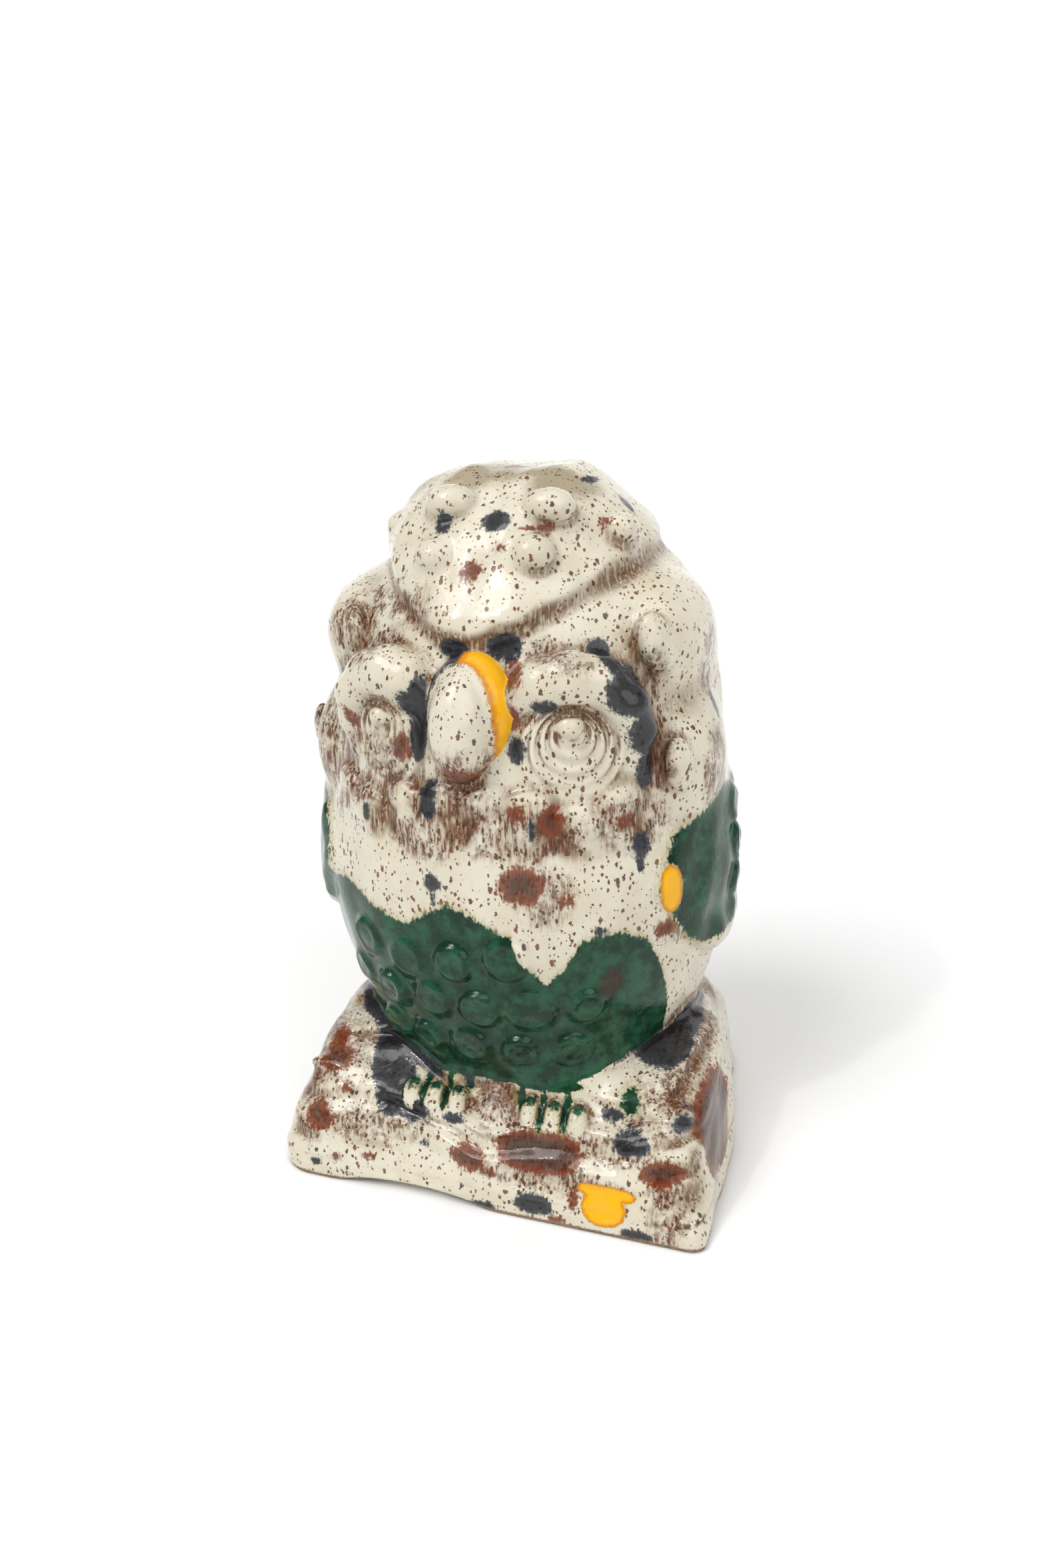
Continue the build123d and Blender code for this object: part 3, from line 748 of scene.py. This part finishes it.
def crown_marks(cloud, marks):
    nearest = np.full(cloud.x.shape, FAR)
    for x, y, z, half_width, half_height in marks:
        normal = np.array((x, y - CROWN_Y, z - CROWN_MIDDLE))
        normal /= np.linalg.norm(normal)
        across = np.cross((0, 0, 1), normal)
        across /= np.linalg.norm(across)
        along = np.cross(normal, across)
        rel = (cloud.x - x, cloud.y - y, cloud.z - z)
        u, v, w = (sum(c * k for c, k in zip(rel, axis)) for axis in (across, along, normal))
        distance = spot(u, v, half_width, half_height)
        nearest = np.minimum(nearest, np.where(np.abs(w) < MARK_DEPTH, distance, FAR))
    return nearest


def log_marks(cloud, marks):
    nearest = np.full(cloud.x.shape, FAR)
    for x, height, half_width, half_height in marks:
        distance = spot(cloud.x - x, (cloud.z - height) * 1.1, half_width, half_height)
        nearest = smooth_min(nearest, np.where(cloud.y < LOG_Y, distance, FAR), 1)
    return nearest


def lay(coats, name, mark):
    """Add a mark to a coat of glaze."""
    coats[name] = np.minimum(coats[name], mark)


def belongs(node, *starts):
    return node.startswith(starts)


def paint(cloud, node):
    """Signed distance to the edge of each glaze colour, in millimetres, and where washes lie."""
    far = np.full(cloud.x.shape, EDGE_LIMIT)
    coats = dict.fromkeys(("navy", "rust", "green", "yellow", "wash", "pool", "bare"), far)
    if belongs(node, "log_", "bark_"):
        paint_log(cloud, node, coats)
    elif belongs(node, "toe"):
        runs = log_marks(cloud, GREEN_RUNS_ON_LOG)
        coats["green"] = np.minimum(runs, TOE_GREEN - cloud.z)
    else:
        paint_owl(cloud, node, coats)
    if belongs(node, "wing") or node == "body_shell":
        paint_wings(cloud, coats)
    if node == "beak":
        paint_beak(cloud, coats)
    return coats


def azimuth_of(cloud):
    return np.degrees(np.arctan2(cloud.x, -cloud.y))


def paint_log(cloud, node, coats):
    coats["bare"] = cloud.z - BARE_RIM
    coats["navy"] = log_marks(cloud, NAVY_ON_LOG)
    coats["rust"] = log_marks(cloud, RUST_ON_LOG)
    coats["yellow"] = log_marks(cloud, YELLOW_ON_LOG)
    coats["wash"] = log_marks(cloud, WASH_ON_LOG)
    coats["green"] = log_marks(cloud, GREEN_RUNS_ON_LOG)
    back_marks(cloud, coats)
    width = np.interp(azimuth_of(cloud), *np.array(GATHER_WIDTH).T)
    uneven = 1.2 * cloud.ripple(9, 77)
    gathers = np.abs(cloud.base("barrel")) - width - uneven
    lay(coats, "navy", gathers)
    if node == "log_end_right":
        y, height, half_width, half_height = END_PATCH
        patch = spot(cloud.y - y, cloud.z - height, half_width, half_height)
        patch += 1.8 * cloud.ripple(11, 61)
        on_end = end_distance(cloud.x, cloud.z, 1, 0) > -4
        lay(coats, "rust", np.where(on_end, patch, FAR))


def paint_owl(cloud, node, coats):
    coats["navy"] = np.minimum(owl_marks(cloud, NAVY_ON_OWL), crown_marks(cloud, NAVY_ON_CROWN))
    coats["rust"] = np.minimum(owl_marks(cloud, RUST_ON_OWL), crown_marks(cloud, RUST_ON_CROWN))
    coats["wash"] = owl_marks(cloud, WASH_ON_OWL)
    back_marks(cloud, coats)
    azimuth = azimuth_of(cloud)
    top = np.interp(azimuth, *np.array(GREEN_TOP).T)
    sides = np.maximum(azimuth - GREEN_RIGHT, GREEN_LEFT - azimuth) * MM_PER_DEGREE
    coats["green"] = np.maximum((cloud.z - top) * 0.8, sides)
    if belongs(node, "head_cap", "crown"):
        coats["pool"] = crown_marks(cloud, POOL_ON_CROWN)


def paint_wings(cloud, coats):
    """Green on both wings, and a yellow patch in front of the right one."""
    for side in (-1, 1):
        u, v, out = cloud.turned(side * 90)
        edge = polygon_distance(u, v, wing_edge(side)) - 2.6
        green = np.maximum(edge, WING_GREEN_BOTTOM - cloud.z)
        lay(coats, "green", np.where(out > 0, green, FAR))
        if side > 0:
            azimuth, height, half_width, half_height = WING_YELLOW
            across, _, ahead = cloud.turned(azimuth)
            yellow = spot(across, v - height, half_width, half_height)
            lay(coats, "yellow", np.where(ahead > 0, yellow, FAR))
        coats["green"] = np.maximum(coats["green"], -coats["yellow"])


def paint_beak(cloud, coats):
    """A yellow rim on the beak's right, a dark one on its left, and a brown tip."""
    behind = 0.9 - egg(BEAK_FACE_CENTER, BEAK_FACE, BEAK_AXES)(cloud)
    sideways, high = cloud.x - BEAK_FACE_CENTER[0], cloud.z - BEAK_CENTER[2]
    right_side = np.maximum(0.5 - sideways - 0.1 * high, -11 - high)
    left_side = sideways + 0.5 - 0.1 * high
    coats["yellow"] = np.maximum(behind, right_side * 0.5)
    lay(coats, "navy", np.maximum(behind, left_side * 0.5))
    lay(coats, "rust", cloud.z - BEAK_BROWN)
    lay(coats, "wash", cloud.z - BEAK_WASH)


def back_marks(cloud, coats):
    """Scattered drips of the same glazes round the sides and back."""
    random = np.random.default_rng(9)
    for coat, count, size in (("navy", 13, 2.6), ("rust", 15, 3)):
        for _ in range(count):
            azimuth = random.uniform(95, 265)
            height = random.uniform(8, 168)
            half_width, half_height = size * random.uniform(0.5, 1.3, 2)
            u, v, out = cloud.turned(azimuth)
            mark = spot(u, v - height, half_width, half_height)
            lay(coats, coat, np.where(out > 0, mark, FAR))


# ---- Meshing
BLOCK = 6
# How a piece dives under its neighbours: past each depth inside them, it falls this much faster.
TUCKS = ((0, 0.2), (0.8, 0.6), (2.0, 3.5))
LOG_TUCKS = ((0, 0.1), (2.5, 3.5))
GRADIENT_STEP = 0.3
OUTSIDE = 9.0  # the field where nothing is measured
DEEPEST = 14  # blocks further inside the skin are measured only in the body and the log's bark
CREASE_REACH = 2.2  # how far off the surface a crease is felt
TETRAHEDRON = np.array(((1, 1, 1), (1, -1, -1), (-1, 1, -1), (-1, -1, 1)), float)


def piece_field(cloud, node):
    """The skin where the node owns it, diving under the neighbours where they do."""
    whole, deficit = skin(cloud, node)
    under = np.maximum(deficit, 0)
    tucks = LOG_TUCKS if node.startswith("log_") else TUCKS
    return whole + sum(steepness * np.maximum(under - start, 0) for start, steepness in tucks)


def gradient(field, points):
    total = np.zeros_like(points)
    for corner in TETRAHEDRON:
        values = field(Cloud(*(points + corner * GRADIENT_STEP).T))
        total += values[:, None] * corner
    return total / (4 * GRADIENT_STEP)


def sample(node, low, voxel, counts):
    """The piece's field on a lattice, measured only in blocks that its surface can cross."""
    blocks = -(-counts // BLOCK)
    block_size = BLOCK * voxel
    index = np.stack(np.meshgrid(*(np.arange(n) for n in blocks), indexing="ij"), -1).reshape(-1, 3)
    centers = low + (index + 0.5 - 0.5 / BLOCK) * block_size
    coarse = skin(Cloud(*centers.T))[0]
    live = np.abs(coarse) < block_size * 1.5
    own_boxes = [(lo, hi) for owner, lo, hi, _, _ in forms if owner == node]
    inside = np.zeros(len(index), bool)
    for lo, hi in own_boxes:
        inside |= ((centers > lo - block_size) & (centers < hi + block_size)).all(1)
    live |= inside & (coarse < 0) & (coarse > -DEEPEST)
    live &= inside
    lattice = np.full((*(blocks * BLOCK),), OUTSIDE)
    offsets = np.stack(np.meshgrid(*(np.arange(BLOCK),) * 3, indexing="ij"), -1).reshape(-1, 3)
    where = (index[live][:, None, :] * BLOCK + offsets[None]).reshape(-1, 3)
    points = low + where * voxel
    lattice[tuple(where.T)] = piece_field(Cloud(*points.T), node)
    if node in ("body_shell", "log_bark"):
        solid = index[inside & ~live & (coarse < 0)]
        where = (solid[:, None, :] * BLOCK + offsets[None]).reshape(-1, 3)
        lattice[tuple(where.T)] = piece_field(Cloud(*(low + where * voxel).T), node)
    return lattice


def surface_nets(lattice, low, voxel):
    """Quads round the lattice's zero level, one vertex to a crossed cell."""
    solid = lattice < 0
    count = sum(
        solid[i : i - 1 or None, j : j - 1 or None, k : k - 1 or None].astype(np.int8)
        for i in (0, 1) for j in (0, 1) for k in (0, 1)
    )
    cells = np.argwhere((count > 0) & (count < 8))
    corner = np.array([(i, j, k) for i in (0, 1) for j in (0, 1) for k in (0, 1)])
    values = np.stack([lattice[tuple((cells + c).T)] for c in corner], 1)
    total, crossings = np.zeros(cells.shape), np.zeros(len(cells))
    for a in range(8):
        for axis in range(3):
            if corner[a][axis]:
                continue
            b = a + (4, 2, 1)[axis]
            va, vb = values[:, a], values[:, b]
            crossed = (va < 0) != (vb < 0)
            t = np.where(crossed, va / np.where(crossed, va - vb, 1), 0)
            total += crossed[:, None] * (corner[a] + t[:, None] * (corner[b] - corner[a]))
            crossings += crossed
    points = low + (cells + total / crossings[:, None]) * voxel
    number = np.full(count.shape, -1)
    number[tuple(cells.T)] = np.arange(len(cells))
    quads = []
    for axis in range(3):
        u, v = (axis + 1) % 3, (axis + 2) % 3
        step_u, step_v = np.eye(3, dtype=int)[u], np.eye(3, dtype=int)[v]
        first = np.moveaxis(solid, axis, 0)
        change = np.moveaxis(first[:-1] != first[1:], 0, axis)
        edges = np.argwhere(change)
        inner = (edges[:, u] > 0) & (edges[:, v] > 0)
        inner &= (edges[:, u] < count.shape[u]) & (edges[:, v] < count.shape[v])
        edges = edges[inner]
        around = [edges - step_u - step_v, edges - step_v, edges, edges - step_u]
        quad = np.stack([number[tuple(cell.T)] for cell in around], 1)
        flip = ~solid[tuple(edges.T)]
        quad[flip] = quad[flip][:, ::-1]
        quads.append(quad)
    quads = np.concatenate(quads)
    return points, quads[(quads >= 0).all(1)]


VOXELS = (
    ("body_shell", 0.95), ("log_", 1.0), ("head_cap", 0.8), ("log_knot", 0.5), ("wing_scales", 0.5),
    ("wing", 0.7), ("ruff_feather", 0.5), ("ruff", 0.75), ("brow", 0.5), ("eye_nub", 0.4),
    ("eye_disc", 0.42), ("tail", 0.7), ("bark_ridges", 0.6), ("", 0.5),
)


def voxel_of(node):
    best = max((start for start, _ in VOXELS if node.startswith(start)), key=len)
    return dict(VOXELS)[best] * COARSEN


def build_piece(node):
    voxel = voxel_of(node)
    boxes = [(lo, hi) for owner, lo, hi, _, _ in forms if owner == node]
    low = np.min([lo for lo, _ in boxes], 0) + 3
    high = np.max([hi for _, hi in boxes], 0) - 3
    counts = np.ceil((high - low) / voxel).astype(int) + 1
    points, quads = surface_nets(sample(node, low, voxel, counts), low, voxel)

    def field(cloud):
        return piece_field(cloud, node)

    for _ in range(2):
        slope = gradient(field, points)
        size = np.maximum((slope * slope).sum(1), 0.3)
        step = (field(Cloud(*points.T)) / size)[:, None] * slope
        length = np.linalg.norm(step, axis=1)
        step *= np.minimum(1, 0.6 * voxel / np.maximum(length, 1e-6))[:, None]
        points = points - step
    normals = gradient(lambda cloud: skin(cloud)[0], points)
    normals /= np.maximum(np.linalg.norm(normals, axis=1), 1e-6)[:, None]
    return make_object(node, points, quads, normals)


def put_in_scene(name, data):
    made = bpy.data.objects.new(name, data)
    bpy.context.scene.collection.objects.link(made)
    return made


def make_object(node, points, quads, normals):
    mesh = bpy.data.meshes.new(f"{node}_glazed")
    mesh.vertices.add(len(points))
    mesh.vertices.foreach_set("co", (points * MM).astype(np.float32).ravel())
    mesh.loops.add(quads.size)
    mesh.loops.foreach_set("vertex_index", quads.astype(np.int32).ravel())
    mesh.polygons.add(len(quads))
    mesh.polygons.foreach_set("loop_start", np.arange(0, quads.size, 4, dtype=np.int32))
    mesh.update(calc_edges=True)
    mesh.validate()
    cloud = Cloud(*points.T)
    coats = paint(cloud, node)
    # How deep in a crease each point lies; the glaze darkens with this as painted shade.
    raised = skin(cloud.moved(normals, CREASE_REACH))[0]
    coats["crease"] = np.clip(1 - raised / CREASE_REACH, -1, 1)
    for name, values in coats.items():
        layer = mesh.attributes.new(name, "FLOAT", "POINT")
        layer.data.foreach_set("value", np.clip(values, -EDGE_LIMIT, EDGE_LIMIT).astype(np.float32))
    mesh.polygons.foreach_set("use_smooth", np.ones(len(mesh.polygons), bool))
    mesh.normals_split_custom_set_from_vertices(normals.tolist())
    return put_in_scene(f"{node}_glazed", mesh)


# ---- Glazes
class Net:
    """A short way to write a material's nodes."""

    def __init__(self, name):
        self.material = bpy.data.materials.new(name)
        self.material.use_nodes = True
        self.tree = self.material.node_tree
        self.tree.nodes.clear()

    def node(self, kind, settings=None, **sockets):
        made = self.tree.nodes.new("ShaderNode" + kind)
        for key, value in (settings or {}).items():
            setattr(made, key, value)
        for key, value in sockets.items():
            self.feed(made.inputs[key.replace("_", " ")], value)
        return made

    def feed(self, socket, value):
        if isinstance(value, bpy.types.NodeSocket):
            self.tree.links.new(value, socket)
        elif isinstance(value, tuple) and len(value) == 3 and socket.type == "RGBA":
            socket.default_value = (*value, 1)
        else:
            socket.default_value = value

    def math(self, operation, *values, clamp=False):
        made = self.node("Math", {"operation": operation, "use_clamp": clamp})
        for socket, value in zip(made.inputs, values):
            self.feed(socket, value)
        return made.outputs[0]

    def add(self, a, b):
        return self.math("ADD", a, b)

    def times(self, a, b):
        return self.math("MULTIPLY", a, b)

    def range(self, value, low, high, start=0.0, end=1.0, smooth=True):
        made = self.node("MapRange", {"interpolation_type": "SMOOTHSTEP" if smooth else "LINEAR"})
        keys = ("Value", "From Min", "From Max", "To Min", "To Max")
        for key, part in zip(keys, (value, low, high, start, end)):
            self.feed(made.inputs[key], part)
        return made.outputs[0]

    def mix(self, share, first, second):
        made = self.node("Mix", {"data_type": "RGBA"})
        self.feed(made.inputs[0], share)
        self.feed(made.inputs[6], first)
        self.feed(made.inputs[7], second)
        return made.outputs[2]

    def attribute(self, name):
        return self.node("Attribute", {"attribute_name": name}).outputs["Fac"]

    def noise(self, where, scale, detail=3.0, roughness=0.55):
        made = self.node("TexNoise", Vector=where, Scale=scale, Detail=detail, Roughness=roughness)
        return made.outputs["Fac"]

    def stretched(self, where, scale):
        return self.node("Mapping", Vector=where, Scale=scale).outputs[0]

    def cells(self, where, scale):
        made = self.node("TexVoronoi", Vector=where, Scale=scale)
        return made.outputs["Distance"], made.outputs["Color"]


# The third cream is a darker, browner tone, used as painted shade in hollows.
CREAM, CREAM_WARM, CREAM_HOLLOW_SHADE = (0.69, 0.645, 0.525), (0.63, 0.575, 0.44), (0.46, 0.37, 0.235)
SPECKLE, SPECKLE_RUST = (0.080, 0.031, 0.012), (0.17, 0.050, 0.020)
RUST_DARK, RUST_LIGHT = (0.046, 0.009, 0.003), (0.20, 0.042, 0.011)
NAVY_DARK, NAVY_THIN = (0.006, 0.008, 0.014), (0.035, 0.046, 0.065)
GREEN_DARK, GREEN_LIGHT, GREEN_HALO = (0.005, 0.028, 0.013), (0.018, 0.088, 0.042), (0.36, 0.32, 0.11)
YELLOW, YELLOW_EDGE = (0.86, 0.43, 0.010), (0.55, 0.20, 0.006)
# The first colour here is a dark brown laid in creases as painted shade.
CREASE_SHADE_BROWN, POOLED = (0.13, 0.052, 0.020), (0.30, 0.24, 0.14)
WASH, WASH_DARK = (0.17, 0.062, 0.026), (0.055, 0.020, 0.010)
CLAY, CLAY_DARK = (0.30, 0.20, 0.12), (0.16, 0.10, 0.06)


def speckles(net, where):
    """Small iron spots that ran a little downwards: how dark, and their own random shade."""
    ragged = net.node("TexNoise", Vector=where, Scale=1.7, Detail=2.0).outputs["Color"]
    shaken = net.node("VectorMath", {"operation": "MULTIPLY_ADD"})
    net.feed(shaken.inputs[0], ragged)
    net.feed(shaken.inputs[1], (0.8, 0.8, 1.3))
    net.feed(shaken.inputs[2], where)
    cover, shades = None, None
    for scale, size, stretch in ((0.66, 0.40, 0.62), (0.35, 0.20, 0.55), (1.1, 0.44, 0.7)):
        placed = net.stretched(shaken.outputs[0], (1, 1, stretch))
        distance, shade = net.cells(placed, scale)
        chance = net.node("SeparateColor", Color=shade)
        limit = net.times(net.math("POWER", chance.outputs[0], 2.2), size)
        layer = net.range(net.math("SUBTRACT", limit, distance), -0.012, 0.035)
        cover = layer if cover is None else net.math("MAXIMUM", cover, layer)
        shades = chance.outputs[1] if shades is None else shades
    return cover, shades


def glaze_fields(net):
    """What every coat of glaze is drawn from: noises, and how deep in a crease a point lies."""
    coordinates = net.node("TexCoord").outputs["Object"]
    where = net.node("VectorMath", {"operation": "SCALE"}, Vector=coordinates, Scale=1 / MM).outputs[0]
    fine = net.noise(where, 0.9, 4.0, 0.6)
    broad = net.noise(where, 0.12, 3.0)
    runs = net.noise(net.stretched(where, (1.5, 1.5, 0.22)), 1.0, 3.0, 0.6)
    ragged, drawn_down = (net.math("SUBTRACT", noise, 0.5) for noise in (fine, runs))
    wobble = net.add(net.times(ragged, 3.2), net.times(drawn_down, 3.4))
    crease = net.attribute("crease")
    # How far into a hollow a point lies: the glaze is darkened by this as painted shade.
    hollow_shade = net.range(crease, 0.06, 0.55)
    return SimpleNamespace(
        where=where, fine=fine, broad=broad, runs=runs, wobble=wobble, crease=crease, hollow_shade=hollow_shade
    )


def edge_of(net, fields, name, ragged=1.0):
    """Distance to a coat's edge, made uneven as glaze runs."""
    return net.add(net.attribute(name), net.times(fields.wobble, ragged))


def cover(net, fields, name, soft, ragged):
    edge = edge_of(net, fields, name, ragged)
    return net.range(edge, soft, -soft), edge


def cream_coat(net, fields):
    """Cream glaze, darker and browner in hollows and creases as painted shade, pooled in places on the
    crown.
    """
    base = net.mix(net.range(fields.broad, 0.35, 0.7), CREAM, CREAM_WARM)
    # painted shade: the cream darkens towards its shaded tone in hollows
    base = net.mix(net.times(fields.hollow_shade, 0.75), base, CREAM_HOLLOW_SHADE)
    # painted shade: dark brown laid in creases, patchy along the runs
    crease_shade = net.times(net.range(fields.crease, 0.10, 0.45), net.range(fields.runs, 0.30, 0.55))
    base = net.mix(net.times(crease_shade, 0.9), base, CREASE_SHADE_BROWN)
    pool = net.range(edge_of(net, fields, "pool", 1.2), 2.8, -3.0)
    return net.mix(net.times(pool, 0.75), base, POOLED)


def wash_coat(net, fields, base):
    """Thin brown washes in drawn-out threads, heavier in creases."""
    wash = net.range(edge_of(net, fields, "wash", 1.3), 1.8, -2.5)
    streaks = net.noise(net.stretched(fields.where, (1.1, 1.1, 0.17)), 1.0, 5.0, 0.7)
    threads = net.range(streaks, 0.44, 0.55)
    wash = net.times(wash, net.range(fields.crease, -0.35, 0.2, 0.35, 1.0))
    wash = net.times(wash, net.range(net.noise(fields.where, 0.22, 3.0), 0.36, 0.54, 0.1, 1.0))
    base = net.mix(net.times(wash, 0.3), base, WASH)
    tone = net.mix(net.range(fields.runs, 0.4, 0.6), WASH, WASH_DARK)
    return net.mix(net.times(wash, threads), base, tone)


def rust_and_green(net, fields, base):
    rust, edge = cover(net, fields, "rust", 0.6, 1.1)
    depth = net.add(edge, net.times(fields.runs, 4))
    tone = net.mix(net.range(depth, -1.8, 2.2), RUST_DARK, RUST_LIGHT)
    base = net.mix(net.times(rust, 0.92), base, tone)
    halo = net.range(edge_of(net, fields, "green"), 1.8, 0.0)
    base = net.mix(net.times(halo, 0.4), base, GREEN_HALO)
    green, _ = cover(net, fields, "green", 0.35, 0.7)
    brushed = net.range(net.noise(fields.where, 0.22, 4.0, 0.65), 0.38, 0.66)
    tone = net.mix(brushed, GREEN_DARK, GREEN_LIGHT)
    # painted shade: the green darkens in hollows
    tone = net.mix(net.times(fields.hollow_shade, 0.7), tone, GREEN_DARK)
    base = net.mix(green, base, tone)
    return net.mix(net.times(net.times(green, rust), 0.6), base, RUST_DARK)


def navy_and_yellow(net, fields, base):
    navy, edge = cover(net, fields, "navy", 0.5, 0.8)
    depth = net.add(edge, net.times(fields.fine, 2.4))
    tone = net.mix(net.range(depth, -0.8, 1.7), NAVY_DARK, NAVY_THIN)
    base = net.mix(net.times(navy, 0.95), base, tone)
    yellow, edge = cover(net, fields, "yellow", 0.3, 0.35)
    tone = net.mix(net.range(edge, -1.4, 0.0), YELLOW, YELLOW_EDGE)
    return net.mix(yellow, base, tone)


def painted_glaze():
    net = Net("painted_glaze")
    fields = glaze_fields(net)
    base = wash_coat(net, fields, cream_coat(net, fields))
    dots, shade = speckles(net, fields.where)
    tone = net.mix(net.range(shade, 0.55, 0.8), SPECKLE, SPECKLE_RUST)
    base = net.mix(net.times(dots, 0.92), base, tone)
    base = navy_and_yellow(net, fields, rust_and_green(net, fields, base))
    bare = net.range(edge_of(net, fields, "bare", 0.35), 0.3, -0.3)
    base = net.mix(bare, base, net.mix(net.range(fields.fine, 0.35, 0.65), CLAY, CLAY_DARK))

    height = net.add(net.times(fields.fine, 0.10), net.times(net.noise(fields.where, 0.34, 2.0), 0.35))
    height = net.add(height, net.times(dots, 0.035))
    bump = net.node("Bump", Height=height, Strength=0.55, Distance=0.0006)
    gloss = net.range(net.noise(fields.where, 0.4, 3.0), 0.3, 0.75, 0.07, 0.16)
    gloss = net.add(gloss, net.times(bare, 0.6))
    surface = net.node(
        "BsdfPrincipled", Base_Color=base, Roughness=gloss, Normal=bump.outputs[0],
        Coat_Weight=0.06, Coat_Roughness=0.04, Specular_IOR_Level=0.26,
    )
    output = net.node("OutputMaterial")
    net.tree.links.new(surface.outputs[0], output.inputs[0])
    return net.material


# ---- Put together
glaze = painted_glaze()
for node in sorted(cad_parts):
    piece = build_piece(node)
    piece.data.materials.append(glaze)
    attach(piece, "root")
    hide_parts(node)

# ---- Studio
def plain_material(name, colour):
    material = bpy.data.materials.new(name)
    material.use_nodes = True
    shader = material.node_tree.nodes["Principled BSDF"]
    shader.inputs["Base Color"].default_value = (*colour, 1)
    shader.inputs["Roughness"].default_value = 0.9
    shader.inputs["Specular IOR Level"].default_value = 0.1
    return material


def make_stage():
    half, back, rise = 6.0, 1.2, 5.0
    corners_at = [
        (-half, -half, 0), (half, -half, 0), (half, back, 0), (-half, back, 0),
        (half, back + rise, rise), (-half, back + rise, rise),
    ]
    mesh = bpy.data.meshes.new("studio_floor")
    mesh.from_pydata(corners_at, [], [(0, 1, 2, 3), (3, 2, 4, 5)])
    floor = put_in_scene("studio_floor", mesh)
    mesh.materials.append(plain_material("studio_white", (0.93, 0.93, 0.93)))


def add_sun(name, azimuth, elevation, strength, spread_degrees):
    lamp = bpy.data.lights.new(name, "SUN")
    lamp.energy = strength
    lamp.angle = radians(spread_degrees)
    put_in_scene(name, lamp).rotation_euler = (radians(90 - elevation), 0, radians(azimuth))


SUNS = (  # name, azimuth, elevation, strength, spread
    ("key", -38, 52, 1.5, 32), ("spark", -30, 46, 0.35, 2.5), ("fill", 52, 34, 1.0, 45),
    ("top", 10, 80, 0.8, 60),
)
WORLD_STRENGTH = 0.22
make_stage()
for sun in SUNS:
    add_sun(*sun)

world = bpy.data.worlds.new("studio_world")
bpy.context.scene.world = world
world.use_nodes = True
world.node_tree.nodes["Background"].inputs[0].default_value = (1, 1, 1, 1)
world.node_tree.nodes["Background"].inputs[1].default_value = WORLD_STRENGTH
bpy.context.scene.view_settings.view_transform = "Standard"

# ---- Camera
VIEW_AZIMUTH, VIEW_ELEVATION, VIEW_ROLL = radians(19.3), radians(17.6), radians(-1.5)
VIEW_DISTANCE, VIEW_TARGET = 300, np.array((-2.1, 0, 94.9))
LENS = 25.41

ahead = cos(VIEW_ELEVATION)
forward = np.array((-sin(VIEW_AZIMUTH) * ahead, cos(VIEW_AZIMUTH) * ahead, -sin(VIEW_ELEVATION)))
level_right = np.cross(forward, (0, 0, 1))
level_right /= np.linalg.norm(level_right)
level_up = np.cross(level_right, forward)
right = level_right * cos(VIEW_ROLL) + level_up * sin(VIEW_ROLL)
up = -level_right * sin(VIEW_ROLL) + level_up * cos(VIEW_ROLL)
camera_data = bpy.data.cameras.new("camera")
camera_data.lens = LENS
camera_data.clip_start = 0.01
camera = put_in_scene("camera", camera_data)
turn = Matrix(np.column_stack((right, up, -forward)).tolist()).to_4x4()
place = (VIEW_TARGET - forward * VIEW_DISTANCE) * MM
camera.matrix_world = Matrix.Translation(place.tolist()) @ turn
bpy.context.scene.camera = camera
